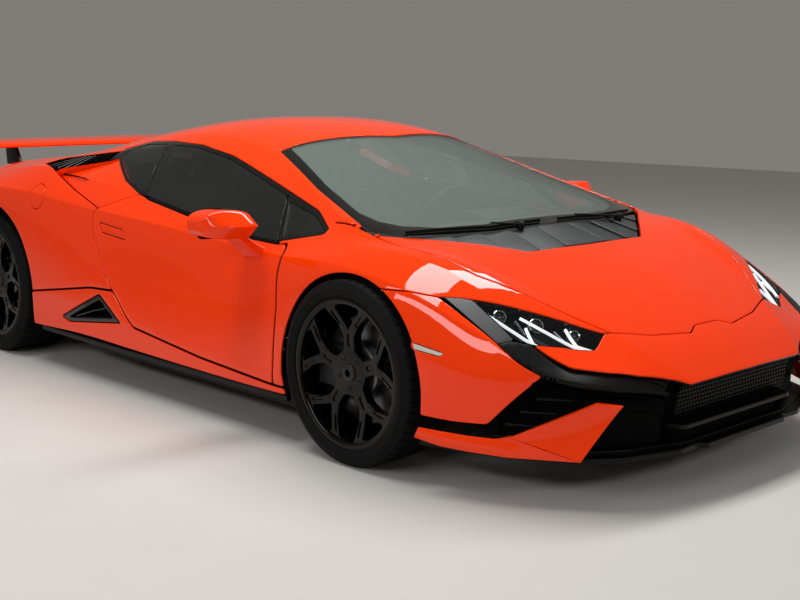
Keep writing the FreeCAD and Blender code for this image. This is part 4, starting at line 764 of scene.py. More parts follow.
piece("nose_panel", panel([nose], depth=16), PAINTED, "chassis", ["front_bumper"],
      "paint")


def on_body(points, drop=0.0):
    """Places (x, v) as points in space, a little under the skin or, below zero, above it."""
    points = np.asarray(points, float)
    return sunk(body, drop)(points[:, 0], points[:, 1])


def fin_row(start, end, count, length, height, drop):
    """Thin fins side by side along a line on the skin, each lying along the car."""
    parts = []
    for x, v in np.linspace(start, end, count):
        path = on_body(stepped([(x - length / 2, v), (x + length / 2, v)], 12), drop)
        ease = np.sin(np.linspace(0.25, np.pi - 0.25, len(path)))
        parts += swept(path, rounded(4, height, 1.5, 3), sizes=np.column_stack([np.ones(len(path)), ease]))
    return parts


pair("fender", panel([fender], depth=10), PAINTED, ["front_fenders"], "paint")
pair("bumper_cheek", panel([cheek, MARKER], depth=10), PAINTED, ["front_bumper"], "paint")
marker_lens = panel([MARKER], sunk(body, 0.5), depth=8, gap=1.5, edge=1.5, pitch=4)
pair("side_marker", marker_lens, ["marker_lens", "marker_lens"], ["front_bumper"], "black_gloss")
lamp_trim = panel([at_v(*TRIM_EDGE)], sunk(body, 2.5), depth=12, gap=3, edge=1.5, pitch=6)
pair("lamp_trim", lamp_trim, ["charcoal_satin", "moulded_black"], ["front_bumper"], "black_matte")
nose_arm = panel([at_v(*ARM_TOP, *ARM_FOOT)], sunk(body, 1.0), depth=14, gap=3, edge=3.5, pitch=6)
nose_arm += fin_row((1990, 3.44), (2225, 2.62), 6, 30, 5, 7)
nose_arm += panel([at_v((1950, 3.36), *NOSE_FOOT[1:5], (2252, 3.3), *ARM_TOP[:0:-1])], sunk(body, 12), depth=8,
                  gap=0, edge=1, pitch=8)
pair("nose_arm", nose_arm, ["satin_black", "moulded_black"], ["front_bumper"], "black_gloss")

# Headlamps: a black housing sunk 42 mm, light guides in two forked strokes, two projectors, and a clear cover.
GUIDES = (((1756, 3.40), (1866, 3.37), (1925, 3.33), (1968, 3.26)),
          ((1900, 3.08), (1925, 3.20), (1948, 3.30)),
          ((1866, 2.90), (1910, 2.80), (1949, 2.71), (1995, 2.63), (2036, 2.56)),
          ((1962, 2.14), (1990, 2.34), (2018, 2.50), (2052, 2.36)))
PROJECTORS = ((1822, 3.16, 19), (1905, 2.62, 21), (1985, 1.98, 15))
PROJECTOR_AXIS = (0.86, 0.36, 0.36)
REFLECTOR_FINS = ((1780, 3.28), (1860, 3.0), (1945, 2.35))
lamp = at_v(*LAMP_EDGE)
pair("lamp_cover", panel([lamp], sunk(body, 1.0), depth=3, gap=3, edge=1.0, pitch=6), ["lamp_cover", "lamp_cover"],
     ["headlamps"], "lamp")
bowl = panel([lamp], sunk(body, 42.0), depth=3, gap=3, edge=1.0, pitch=6)
bowl += wall_band(lamp, body, [(-2.2, 3.5), (-5, 42), (-1.6, 42), (-1.6, 3.5), (-2.2, 3.5)], 6)
pair("lamp_housing", bowl, GLOSS, ["headlamps"], "black_gloss")
guides = []
for run in GUIDES:
    guides += swept(on_body(stepped(np.array(run) * [1, LINE_SCALE], 8) / [1, LINE_SCALE], 16), rounded(9, 9, 2.5, 3))
pair("light_guides", guides, ["light_guide"], ["headlamps"], "lamp", outward=True)
bezels, lenses = [], []
for x, v, radius in PROJECTORS:
    spot = on_body([(x, v)], 30)[0]
    bezels += turned([(radius + 3, 6), (radius + 5, 4), (radius + 5, -14), (radius - 1, -14), (radius - 1, 5)],
                     spot, PROJECTOR_AXIS, 40)
    lenses += turned([(0, 6), (radius * 0.35, 5.4), (radius * 0.7, 3), (radius * 0.95, -2), (radius, -8), (0, -8)],
                     spot, PROJECTOR_AXIS, 40)
for x, v in REFLECTOR_FINS:
    run = np.array([(x, v * LINE_SCALE), (x + 50, (v + 0.16) * LINE_SCALE)])
    bezels += swept(on_body(stepped(run, 8) / [1, LINE_SCALE], 34), rounded(5, 14, 2, 3))
pair("lamp_bezels", bezels, ["reflector"], ["headlamps"], "black_gloss", outward=True, smooth=30)
pair("lamp_projectors", lenses, ["projector_glass"], ["headlamps"], "lamp", outward=True)

# Front intakes: the mouth's near-black sheet of painted shade, short fins at the cheek, a honeycomb in the middle and
# a stepped chin.
mouth = ring(at_v((2285, 3.2), (2252, 3.45), (2154, 4.0), (2039, 4.12)),
             from_side((2036, 424), (1960, 342), (1882, 257), (1880, 175)), at_v((2285, 6.95)))
# The mouth's lining is painted shade: a near-black sheet sunk 105 mm.
lining = panel([mouth], sunk(body, 105), depth=6, gap=0, edge=1)
blades = []
for low in (205, 250, 295, 340):
    front = 1905 + (low - 205) * 0.98
    path = on_body(from_side((front - 10, low + 16), (front + 85, low + 16)), 16)
    blades += swept(path, rounded(34, 9, 3, 3), sizes=np.column_stack(
        [np.linspace(1, 0.35, len(path)), np.linspace(1, 0.5, len(path))]))
pair("intake_blades", blades, ["satin_black"], ["front_grilles"], "black_gloss", outward=True)
# Behind the honeycomb, a near-black sheet of painted shade.
shade_behind_mesh = shell(blended([(2186, 352, 352), (2186, -352, 352), (2156, -352, 196), (2156, 352, 196)]), 3, 3, 6)
piece("intake_shade_sheet", lining + mirrored(lining) + shade_behind_mesh, SHADE_SHEET, "chassis", ["front_grilles"], "black_matte")


def honeycomb(width, height, cell, bar, depth, place):
    """A sheet of hexagonal cells in one surface: each cell is a ring between two hexagons with walls inside it."""
    across, rise = cell, cell * math.sqrt(3) / 2
    columns, rows = int(width / across), int(height / rise)
    i, j = np.meshgrid(np.arange(columns), np.arange(rows), indexing="ij")
    centre = np.stack([(i + 0.5 * (j % 2) - (columns - 0.5) / 2) * across, (j - (rows - 1) / 2) * rise], -1)
    centre = centre.reshape(-1, 1, 2)
    angle = np.radians(30 + 60 * np.arange(6))
    hexagon = np.column_stack([np.cos(angle), np.sin(angle)])
    outer, inner = cell / math.sqrt(3) * 1.002, cell / math.sqrt(3) - bar / 2
    rings = np.stack([centre + outer * hexagon, centre + inner * hexagon, centre + inner * hexagon,
                      centre + outer * hexagon], axis=1)
    level = np.array([0, 0, depth, depth])[None, :, None]
    points = place(rings[..., 0], rings[..., 1], np.broadcast_to(level, rings.shape[:3]))
    k, n = np.arange(3)[:, None], np.arange(6)[None, :]
    a, b = k * 6 + n, k * 6 + (n + 1) % 6
    one = np.vstack([np.stack([a, b, b + 6], -1).reshape(-1, 3), np.stack([a, b + 6, a + 6], -1).reshape(-1, 3)])
    faces = (one[None] + np.arange(len(centre))[:, None, None] * 24).reshape(-1, 3)
    return [(points.reshape(-1, 3), faces, 0)]


comb = honeycomb(690, 150, 17, 3.4, 6, lambda a, b, d: np.stack([2214 - d + b * 0.19, a, 274 + b], -1))
piece("nose_mesh", comb, ["satin_black"], "chassis", ["front_grilles"], "black_gloss", weld=0, smooth=20)

# Splitter: the plate's edge follows the nose; its middle stands higher and further forward.
SPLITTER_EDGE = ((1600, 905), (1760, 868), (1915, 806), (2113, 690), (2188, 594), (2262, 366), (2256, 262),
                 (2281, 244), (2281, 0))
SPLITTER_INNER = ((1985, 0), (1985, 560), (1700, 760))


def level(height):
    """A level surface at a height."""
    return plane((0, 0, height), (1, 0, 0), (0, 1, 0))


plate_line = whole(np.array(SPLITTER_INNER + SPLITTER_EDGE, float))
chin = plate([plate_line], level(158), 18, edge=4, pitch=8)
tooth = whole(np.array([(2165, 0), (2165, 352), (2238, 336), (2246, 322), (2246, 0)], float))
chin += plate([tooth], level(226), 15, edge=4, pitch=8)
floor_pan = whole(np.array([(1900, 0), (1900, 800), (2060, 690), (2170, 520), (2240, 300), (2240, 0)], float))
chin += plate([floor_pan], level(166), 9, edge=3, pitch=8)
piece("splitter_plate", chin, SATIN, "chassis", ["front_splitter"], "black_matte",
      outward=True, smooth=30)
# The recess under the chin's middle is floored with a near-black sheet of painted shade.
recess = whole(np.array([(2150, 0), (2150, 330), (2196, 318), (2204, 306), (2204, 0)], float))
piece("splitter_recess", plate([recess], level(212), 52, edge=3, pitch=8), SHADE_SHEET, "chassis",
      ["front_splitter"], "black_matte", outward=True, smooth=30)

# Orange skirt on each end of the splitter, with a winglet that rises from it across the intake's mouth.
SKIRT_TOP = ((1662, 960, 221), (1740, 944, 221), (1840, 915, 220), (1915, 878, 219), (1956, 855, 228))
SKIRT_FOOT = ((1645, 963, 184), (1740, 945, 172), (1840, 917, 169), (1956, 862, 164), (2135, 728, 160))
WINGLET = ((1956, 850, 228), (2135, 725, 160), (2214, 625, 338), (2165, 690, 349))


def between_lines(low, high, swell):
    """Straight from a low line to a high line, with a slight swell outwards in the middle."""
    low, high = np.array(low, float), np.array(high, float)

    def surface(a, b):
        a, b = matched(a, b)
        foot, top = (np.stack([np.interp(a, np.linspace(0, 1, len(line)), line[:, c]) for c in range(3)], -1)
                     for line in (low, high))
        return foot + (top - foot) * b[..., None] + np.array([0.45, 0.88, 0.0]) * swell * (4 * b * (1 - b))[..., None]
    return surface


skirt = shell(between_lines(SKIRT_FOOT[::-1], SKIRT_TOP[::-1], 5), 24, 5, 22)
skirt += shell(blended([WINGLET[0], WINGLET[3], WINGLET[2], WINGLET[1]][::-1], 6), 12, 10, 9)
pair("winglet", skirt, ["orange_lacquer"], ["winglets"], "paint", outward=True, smooth=34)

# Cowl: a row of slats that run forward and outward, each falling 8 mm to its outer edge.
COWL_REAR = ((0, 1402), (311, 1396), (511, 1358), (684, 1298))
COWL_FRONT = ((0, 1580), (334, 1568), (581, 1372), (684, 1298))
COWL_SPLITS = (-95, 95, 235, 375, 505, 640)


def cowl_run(line, start, end, slant):
    """Part of the cowl's rear or front edge between two slats' joints, as points (x, y)."""
    across = np.linspace(start + math.copysign(slant, start), end + math.copysign(slant, end), 9)
    return np.column_stack([np.interp(np.abs(across), *np.array(line, float).T), across])


cowl_parts = []
for start, end in zip(COWL_SPLITS[:-1], COWL_SPLITS[1:]):
    def slat_drop(x, v, start=start, end=end):
        share = np.clip((np.abs(body(x, v)[..., 1]) - start) / (end - start), 0, 1)
        return 2.0 + 9.0 * share * (start > 0)

    rear_run, front_run = cowl_run(COWL_REAR, start, end, 0), cowl_run(COWL_FRONT, start, end, 22)
    outline = np.vstack([rear_run, front_run[::-1]])
    slat = panel([either_side(outline)], sunk(body, slat_drop), depth=8, gap=3, edge=2)
    cowl_parts += slat + (mirrored(slat) if start > 0 else [])
piece("cowl_slats", cowl_parts, ["charcoal_satin", "moulded_black"], "chassis", ["cowl_panel"], "black_matte")
# Under the slats, a near-black bed sunk 16 mm: painted shade between the slats.
cowl_bed = whole(ring(from_top((1402, 0), (1396, 311), (1358, 511), (1310, 660)),
                      from_top((1372, 581), (1568, 334), (1580, 0))))
piece("cowl_bed", panel([cowl_bed], sunk(body, 16), depth=4, gap=0, edge=1), SHADE_SHEET,
      "chassis", ["cowl_panel"], "black_matte")

screen = whole(ring(from_top(*SCREEN_FOOT[::-1]), from_top((1198, 752), (800, 656), (432, 545)),
                    from_top(*SCREEN_HEAD[::-1])))
# The windscreen's light grey-green is partly painted reflection.
piece("windscreen", panel([screen], sunk(body, 3.0), depth=5, gap=3, edge=1.2), ["screen_tint_and_reflection", "screen_tint_and_reflection"],
      "chassis", ["fixed_glass"], "glass")

clear_glass = whole(ring(from_top((1330, 0), (1322, 305), (1284, 490), (1218, 610), (1150, 660), (1060, 672)),
                         from_top((800, 612), (452, 505)), from_top((500, 310), (548, 0))))
piece("windscreen_border", panel([screen, clear_glass], sunk(body, 2.6), depth=0.9, gap=4, edge=0.3),
      GLOSS, "chassis", ["fixed_glass"], "glass")

ROOF_RAIL = ((-225, 1062), (-14, 1054), (216, 1017), (471, 953), (684, 899))
roof = whole(ring(from_top(*SCREEN_HEAD), from_top((432, 545), (800, 656), (1150, 739)),
                  from_top((1150, 760), (1024, 762)), from_side((1024, 790), (898, 846), (684, 899)),
                  from_side(*ROOF_RAIL[::-1]), from_side((-225, 1062), (-425, 1055), (-553, 1022)),
                  from_top((-560, 690), (-560, 0))))
piece("roof_panel", panel([roof], depth=14), ["orange_lacquer", "dash_moulding"], "chassis", ["roof_frame"], "paint")

door = ring(from_side(*DOOR_REAR), from_side(*DOOR_FOOT), from_side(*DOOR_FRONT), from_side(*DOOR_TOP))
HANDLE = from_side((-382, 714), (-361, 673), (-166, 655), (-193, 695))
BELT = ring(from_side((-118, 830), (-104, 828), (306, 773), (586, 735), (797, 725)),
            from_side((797, 734), (586, 745), (306, 784), (-110, 839)))
door_glass = ring(from_side((-104, 839), (306, 784), (586, 745), (796, 734)), from_side((796, 734), (680, 886)),
                  from_side(*GLASS_TOP[::-1]), from_side((-225, 1049), (-120, 840)))
door_ring = ring(from_side(*DOOR_REAR), from_side(*DOOR_FOOT), from_side(*DOOR_FRONT),
                 from_side((797, 736), (680, 886)), from_side(*GLASS_TOP[::-1]),
                 from_side((-225, 1049), (-120, 842), (-181, 845), (-411, 773)))
door_lining = ring(from_side(*DOOR_REAR), from_side(*DOOR_FOOT), from_side(*DOOR_FRONT),
                   from_side((805, 724), (586, 734), (306, 772), (-104, 827), (-411, 773)))
rail_strip = ring(from_side(*GLASS_TOP), from_side(*ROOF_RAIL[::-1]))
rear_glass = ring(from_side((-155, 862), (-250, 1050), (-419, 1042), (-500, 1012), (-500, 985), (-329, 900),
                            (-192, 858)))
front_glass = ring(from_side((712, 868), (812, 748), (1010, 785), (890, 833)))
rear_frame = ring(from_side((-118, 840), (-222, 1049), (-225, 1062), (-425, 1055), (-552, 1013), (-562, 966),
                            (-515, 980), (-338, 892), (-196, 848), (-118, 840)))
front_frame = ring(from_side((798, 735), (684, 886), (684, 899), (898, 846), (1024, 790), (1016, 776), (812, 738),
                             (798, 735)))
DOOR_BODY = "door_%s_body"


def glazing(outline):
    """A pane of tinted glass 2.5 mm below the skin."""
    return panel([outline], sunk(body, 2.5), depth=5, gap=3, edge=1.0)


pair("door_skin", panel([door, HANDLE], depth=12), ["orange_lacquer", "black_leather"], ["door_%s"], "paint",
     DOOR_BODY)
pair("door_handle", panel([HANDLE], sunk(body, 1.0), depth=9, gap=3, edge=4, pitch=5), PAINTED, ["door_%s"], "paint",
     DOOR_BODY)
pair("belt_strip", panel([BELT], sunk(body, 1.5), depth=6, gap=0.6, edge=1.5, pitch=6), SATIN, ["door_%s"], "paint",
     DOOR_BODY)
pair("door_window", glazing(door_glass), TINTED, ["door_glass_%s"], "glass", DOOR_BODY)
jamb = panel([inset(door_ring, -34), inset(door_ring, 9)], sunk(body, 19), depth=5, gap=0, edge=1.5, pitch=10)
pair("door_seal", jamb, ["moulded_black", "moulded_black"], ["roof_frame"], "black_matte")
# The door's lining carries a padded arm rest that thins out at both ends.
lining_parts = panel([inset(door_lining, 22)], sunk(body, 20), depth=16, gap=0, edge=5)
arm_rest = np.column_stack([np.linspace(-60, 620, 18), np.linspace(868, 852, 18), np.linspace(640, 612, 18)])
thinned = [np.interp(np.arange(18), (0, 3, 14, 17), ends) for ends in ((0.35, 1, 1, 0.3), (0.6, 1, 1, 0.5))]
lining_parts += swept(arm_rest, rounded(56, 44, 16, 5), sizes=np.column_stack(thinned))
pair("door_lining", lining_parts, ["black_leather", "moulded_black"], ["door_%s"], "black_matte", DOOR_BODY)
trim = panel([rail_strip], sunk(body, 2.0), depth=8, gap=1, edge=1, pitch=6)
trim += panel([rear_frame, rear_glass], sunk(body, 0.8), depth=8, gap=1, edge=1, pitch=6)
trim += panel([front_frame, front_glass], sunk(body, 2.0), depth=8, gap=1, edge=1, pitch=6)
pair("window_trim", trim, GLOSS, ["roof_frame"], "black_gloss")
pair("quarter_window", glazing(rear_glass), TINTED, ["fixed_glass"], "glass")
pair("front_window", glazing(front_glass), TINTED, ["fixed_glass"], "glass")

sill = ring(from_side((-950, 345), (-426, 421), (-251, 427), (-141, 333), (-75, 291), (412, 240), (873, 213),
                      (941, 213)), at_v((948, 6.95), (-960, 6.95)))
low_intake = ring(from_side((-352, 404), (-680, 262), (-612, 246), (-170, 300)))
low_inner = ring(from_side((-353, 379), (-610, 268), (-238, 314), (-353, 379)))
pair("sill_panel", panel([sill, low_intake], depth=12), PAINTED, ["side_sills"], "paint")
frame_parts = panel([low_intake, low_inner], sunk(body, 1.5), depth=14, gap=2, edge=6, pitch=6)
frame_parts += swept(on_body(from_side((-300, 352), (-560, 278)), 26), rounded(7, 34, 3, 3), (0, 1, 0))
pair("sill_intake_frame", frame_parts, GLOSS, ["side_intakes"], "black_gloss")
# The intake's depth: a near-black bowl 58 mm in, painted shade.
bowl = panel([low_inner], sunk(body, 58), depth=3, gap=0, edge=1, pitch=6)
bowl += wall_band(low_inner, body, [(0, 8), (0, 58)], 6)
pair("sill_intake_bowl", bowl, SHADE_SHEET, ["side_intakes"], "black_matte")
strip_path = np.column_stack([np.linspace(-930, 930, 40), 912 + 8 * np.cos(np.linspace(-1.5, 1.5, 40)),
                              np.full(40, 172.0)])
pair("rocker_strip", swept(strip_path, rounded(18, 26, 6, 4)), ["satin_black"], ["side_sills"], "paint",
     outward=True)

quarter = ring(from_top((-2200, 0), (-2200, 690)), from_side((-2200, 800), (-1963, 800), (-1963, 190)),
               from_side((-1963, 190), (-1706, 190)), arc_side(REAR_ARCH, REAR_ARCH_RADIUS, 203.2, 0),
               from_side((-945, 350), (-426, 426), (-251, 433)),
               from_side(*DOOR_REAR[::-1]), from_side(*RAMP_RIDGE[::-1]),
               from_side((-1050, 935), (-1035, 958), (-530, 1010), (-553, 1022)),
               from_top((-560, 690), (-560, 478), (-1200, 478), (-1888, 462), (-1888, 0)))
flap_ring = arc_side((-898, 793), 58, 0, 355)
piece("rear_quarter_panels", panel([whole(quarter), flap_ring * [1, -1]], depth=12, pitch=10),
      PAINTED, "chassis", ["rear_quarters"], "paint")
flap = panel([flap_ring * [1, -1]], depth=5, gap=3.0, edge=1.0)
piece("filler_flap", flap, ["orange_lacquer", "orange_inner"], "fuel_flap_body", ["fuel_flap"], "paint")


def scoop_depth(x, v):
    """The scoop's floor falls from nothing at the door to 34 mm at the intake's mouth."""
    return 34 * np.clip((-411 - x) / 420, 0, 1)**1.2 + 2.0


scoop = ring(from_side(*RAMP_RIDGE), from_side((-411, 773), (-181, 845), (-192, 858), (-329, 900), (-500, 985),
                                               (-545, 968), (-820, 926), (-842, 914)))
high_intake = ring(from_side((-530, 1010), (-1035, 958), (-1050, 935), (-850, 922), (-545, 968), (-515, 984)))
ramp = panel([scoop], sunk(body, scoop_depth), depth=10) + wall_band(scoop, body, [(0, 2.5), (0, 44)])
pair("scoop_panel", ramp, PAINTED, ["rear_quarters"], "paint")
# The high intake's floor 48 mm in: a near-black sheet of painted shade.
bed = panel([high_intake], sunk(body, 48), depth=4, gap=0, edge=1) + wall_band(high_intake, body, [(0, 2.5), (0, 50)])
pair("high_intake_bed", bed, SHADE_SHEET, ["side_intakes"], "black_matte")
fins = []
for number in range(9):
    x = -562 - 46 * number
    top = 958 + (x + 1035) * 52 / 505
    foot = 922 + (x - 34 + 850) * 46 / 305 if x - 34 > -850 else 922 - (x - 34 + 850) * 13 / 200
    fins += swept(on_body(from_side((x, top - 3), (x - 34, foot + 3)), 12), rounded(6, 22, 2.5, 3), (0, 1, 0))
pair("high_intake_fins", fins, ["gloss_black"], ["side_intakes"], "black_gloss", outward=True)

cover = whole(ring(from_top((-560, 0), (-560, 470)), from_top((-560, 470), (-1200, 470), (-1880, 455)),
                   from_top((-1880, 455), (-1880, 0))))
SLOT_FRONTS = [-700 - 190 * n for n in range(6)]
SLAT_LEAN = math.radians(-24)
slots = [whole(ring(from_top((x, 0), (x, 330)), from_top((x - 70, 330), (x - 70, 0)))) for x in SLOT_FRONTS]
piece("engine_lid", panel([cover] + slots, depth=12, gap=5), PAINTED,
      "engine_cover_body", ["engine_cover"], "paint")
slats = []
slat_section = rounded(92, 6, 2.5, 3) @ np.array([[math.cos(SLAT_LEAN), math.sin(SLAT_LEAN)],
                                                  [-math.sin(SLAT_LEAN), math.cos(SLAT_LEAN)]])
for x in SLOT_FRONTS:
    places = trace(stepped([(x - 38, 0), (x - 38, 344)], 24), 1)
    slats += swept(on_body(np.vstack([(places * [1, -1])[:0:-1], places]), 24), slat_section)
piece("engine_lid_slats", slats, ["gloss_black"], "engine_cover_body", ["engine_cover"], "black_gloss", outward=True)

tail_side = ring(from_side((-2200, 795), (-1957, 795), (-1957, 190)), at_v((-1957, 6.98), (-2200, 6.98)))
pair("rear_bumper_side", panel([tail_side], depth=12), PAINTED, ["rear_bumper"], "paint")


def tail(a, b):
    """The rear end's face: across it (to the right) and up, with a swell of 20 mm rearwards that dies out at its top,
    foot and sides."""
    a, b = matched(a, b)
    swell = 20 * np.clip(1 - ((b - 520) / 330)**2, 0, 1) * np.clip(1 - (a / 880)**4, 0, 1)
    return np.stack([-2200 - swell, -a, b], -1)


def both_sides(points):
    """A closed left-right outline from its right half."""
    points = np.array(points, float)
    return np.vstack([points, (points * [-1, 1])[::-1]])


def tail_panel(outlines, drop, depth, edge, gap=SHUT_GAP):
    """A panel on the rear end's face, sunk below it by a drop."""
    return panel([np.array(line, float) for line in outlines], sunk(tail, drop), depth, gap, edge,
                 np.arange(-880.0, 881.0, 40), np.arange(60.0, 860.0, 40), NONE, 1.0, 8, 2)


def tail_band(outline, profile):
    """A band that follows an outline on the rear end's face."""
    return wall_band(np.array(outline, float), tail, profile, scale=1.0)


DECK_LIP = ((0, 752), (806, 752), (822, 770), (690, 821), (600, 829), (520, 837), (0, 849))
LAMP_BAY = ((424, 694), (446, 738), (806, 752), (816, 694))
GRILLE = ((0, 604), (560, 604), (826, 640), (818, 694), (424, 694), (446, 738), (0, 738))
CORNER = ((500, 210), (500, 430), (560, 604), (826, 640), (866, 560), (861, 330), (832, 204))
CORNER_VENT = ((742, 296), (722, 372), (760, 520), (806, 556), (812, 520), (792, 330))
CENTRE = ((0, 408), (494, 408), (500, 430), (560, 600), (0, 600))
rear_lip = tail_panel([both_sides(DECK_LIP)], 0, 14, 5)
corner = tail_panel([CORNER, CORNER_VENT], 0, 16, 5)
vent = mirrored(tail_panel([CORNER_VENT], 42, 4, 1, 0) + tail_band(CORNER_VENT, [(0, 4), (0, 44)]))
for height in (350, 400, 450, 500):
    bar = np.column_stack([np.full(5, -2190.0), np.linspace(728, 800, 5), np.full(5, float(height))])
    vent += swept(bar, rounded(26, 6, 2.5, 3))
piece("rear_deck_lip", rear_lip, PAINTED, "chassis", ["rear_bumper"], "paint")
piece("rear_bumper_corners", mirrored(corner) + corner, PAINTED, "chassis", ["rear_bumper"], "paint")
piece("rear_corner_vents", vent + mirrored(vent), ["moulded_black", "moulded_black"], "chassis", ["rear_bumper"],
      "black_matte")
pipe_holes = [circle(70, 36, (230 * sign, 520)) for sign in (1, -1)]
piece("rear_centre_panel", tail_panel([both_sides(CENTRE)] + pipe_holes, 1, 16, 4), ["satin_black", "moulded_black"],
      "chassis", ["rear_bumper"], "black_gloss")
grille = both_sides(GRILLE)
# Behind the grille, 46 mm in: a near-black sheet of painted shade.
behind = tail_panel([grille], 46, 4, 1, 0) + tail_band(grille, [(0, 3), (0, 47)])
piece("rear_grille_bed", behind, SHADE_SHEET, "chassis", ["rear_bumper"], "black_matte")
frame_band = tail_panel([grille, inset(grille, 12, tail, 8, 1.0)], 3, 12, 2, 3)
piece("rear_grille_frame", frame_band, SATIN, "chassis", ["rear_bumper"], "black_gloss")


def on_tail(height):
    """Where the cells of the rear mesh lie: 12 mm under the face, about a height."""
    return lambda a, b, d: tail(a, height + b) + np.stack([12 + d, 0 * d, 0 * d], -1)


rear_mesh = honeycomb(1620, 84, 19, 3.6, 7, on_tail(648)) + honeycomb(850, 50, 19, 3.6, 7, on_tail(714))
piece("rear_mesh", rear_mesh, ["satin_black"], "chassis", ["rear_bumper"], "black_gloss", weld=0, smooth=20)

# Tail lamps: a smoked cover over a black housing with red light guides, each a stroke that forks outwards.
STROKES = (((452, 716), (560, 716), (606, 738), (790, 744)), ((560, 716), (606, 703), (800, 703)),
           ((640, 722), (700, 722), (722, 732)), ((700, 722), (724, 713)))
housing = tail_panel([LAMP_BAY], 24, 4, 1, 3) + tail_band(LAMP_BAY, [(-2, 2), (-2, 25)])
pair("tail_lamp_housing", mirrored(housing), GLOSS, ["tail_lamps"], "black_gloss")
guides = []
for stroke in STROKES:
    run = stepped(np.array(stroke, float), 10)
    guides += swept(sunk(tail, 7)(-run[:, 0], run[:, 1]), rounded(8, 9, 2.5, 3), (-1, 0, 0))
pair("tail_light_guides", guides, ["red_acrylic"], ["tail_lamps"], "tail", outward=True)
pair("tail_lamp_cover", mirrored(tail_panel([LAMP_BAY], 1, 3, 1, 3)), ["lamp_cover", "lamp_cover"], ["tail_lamps"],
     "tail")

# Exhaust tips: six-sided rolled-lip tubes; the diffuser's floor rises between seven fins.
PIPES = [(-2236, 230 * sign, 520) for sign in (1, -1)]
tips, shade_plugs = [], []
for spot in PIPES:
    tips += turned([(62, 3), (60, 0), (56, 0), (54, 3), (54, 120), (62, 120)], spot, (1, 0, 0), 6)
    shade_plugs += turned([(0, 118), (53, 118), (53, 120), (0, 120)], spot, (1, 0, 0), 6)
piece("exhaust_pipes", tips, ["stainless"], "chassis", ["exhaust_tips"], "pipe", outward=True, smooth=25)
# Each tip is closed 118 mm in by a near-black disc: painted shade for the pipe's depth.
piece("exhaust_insides", shade_plugs, ["painted_shade_black"], "chassis", ["exhaust_tips"], "pipe", outward=True)
ramp_line = np.column_stack([np.linspace(-1962, -2281, 15), np.zeros(15),
                             128 + 162 * np.linspace(0, 1, 15)**1.25])
diffuser = swept(ramp_line, rounded(1236, 16, 6, 4), (0, 0, 1))
for number in range(-3, 4):
    rows = ramp_line + [0, 204 * number, 0]
    height = np.interp(rows[:, 0], (-2281, -2200, -2060, -1962), (10, 66, 60, 14))
    diffuser += swept(rows - np.column_stack([0 * height, 0 * height, height / 2]), rounded(9, 1, 0.4, 3),
                      sizes=np.column_stack([np.ones(15), height]))
piece("diffuser_and_fins", diffuser, ["satin_black"], "chassis", ["rear_diffuser"], "black_matte", outward=True,
      smooth=30)
END_PLATE = ((-1962, 132), (-2200, 210), (-2278, 268), (-2276, 296), (-2228, 322), (-2196, 408), (-1962, 408))


def standing_plate(outline, y, depth, edge, pitch):
    """An upright plate along the car, from its outline (x, z) and its distance to the left."""
    return plate([np.array(outline, float) * [-1, 1]], plane((0, y, 0), (-1, 0, 0), (0, 0, 1)), depth, edge, pitch)


pair("diffuser_end_plate", standing_plate(END_PLATE, 620, 10, 3, 10), SATIN, ["rear_diffuser"], "black_matte",
     outward=True)
under_tail = shell(blended([(-1970, 604, 405), (-1970, -604, 405), (-2196, -604, 405), (-2196, 604, 405)]), 3, 3, 5)
piece("diffuser_roof", under_tail, ["moulded_black"], "chassis", ["rear_diffuser"], "black_matte", outward=True)

# Rear wing: a blade with a cambered section, its tips turned down a little, on two leaning uprights.
chord = np.array([(135, 0), (128, 8), (97, 14.5), (50, 17), (0, 16.5), (-60, 12.5), (-110, 7.5), (-133, 6), (-135, 4),
                  (-133, 2.6), (-110, 1), (-60, -6), (0, -12.5), (50, -14), (97, -13), (125, -8.5), (133, -4)])
tilt = math.radians(6)
chord = chord @ np.array([[math.cos(tilt), -math.sin(tilt)], [math.sin(tilt), math.cos(tilt)]])
across = np.concatenate([np.linspace(-698, -620, 8), np.linspace(-600, 600, 25), np.linspace(620, 698, 8)])
tip = np.clip((np.abs(across) - 610) / 88, 0, 1)
blade_path = np.column_stack([np.full(41, -2110.0) - 10 * tip**2, across, 985 - 26 * tip**2])
wing_blade = swept(blade_path, chord, sizes=np.column_stack([1 - 0.08 * tip**2, 1 - 0.35 * tip**2]))
piece("wing_blade", wing_blade, ["orange_lacquer"], "chassis", ["rear_wing"], "paint", outward=True, smooth=45)
UPRIGHT = ((-1962, 806), (-1990, 868), (-2062, 984), (-2158, 984), (-2166, 940), (-2150, 806))
pair("wing_upright", standing_plate(UPRIGHT, 463, 16, 5, 9), SATIN, ["rear_wing"], "black_gloss", outward=True)

# ---------------------------------------------------------------- mirrors and wipers

# Mirror head: five sections as (across, rear, nose, foot, top), shares of its size, joined by a smooth curve.
MIRROR = ((-0.5, -0.02, 0.38, -0.22, 0.12), (-0.34, -0.40, 0.50, -0.46, 0.38), (0.12, -0.5, 0.40, -0.46, 0.48),
          (0.4, -0.52, 0.14, -0.36, 0.34), (0.5, -0.48, -0.14, -0.18, 0.12))
MIRROR_SIZE = np.array([188, 204, 114.0])
MIRROR_AT = np.array([708, 1024, 803.0])
marks = np.linspace(0, 4, 25)
table = np.array(MIRROR)
base = np.minimum(marks.astype(int), 3)
part = (marks - base)[:, None]
lean = np.vstack([table[1] - table[0], (table[2:] - table[:-2]) / 2, table[4] - table[3]])
smooth_table = cubic(part, table[base], lean[base], table[base + 1], lean[base + 1])


def shrunk(loop, share):
    """A closed loop drawn towards its middle, to close a rounded end."""
    middle = loop.mean(axis=1, keepdims=True)
    return middle + (loop - middle) * share


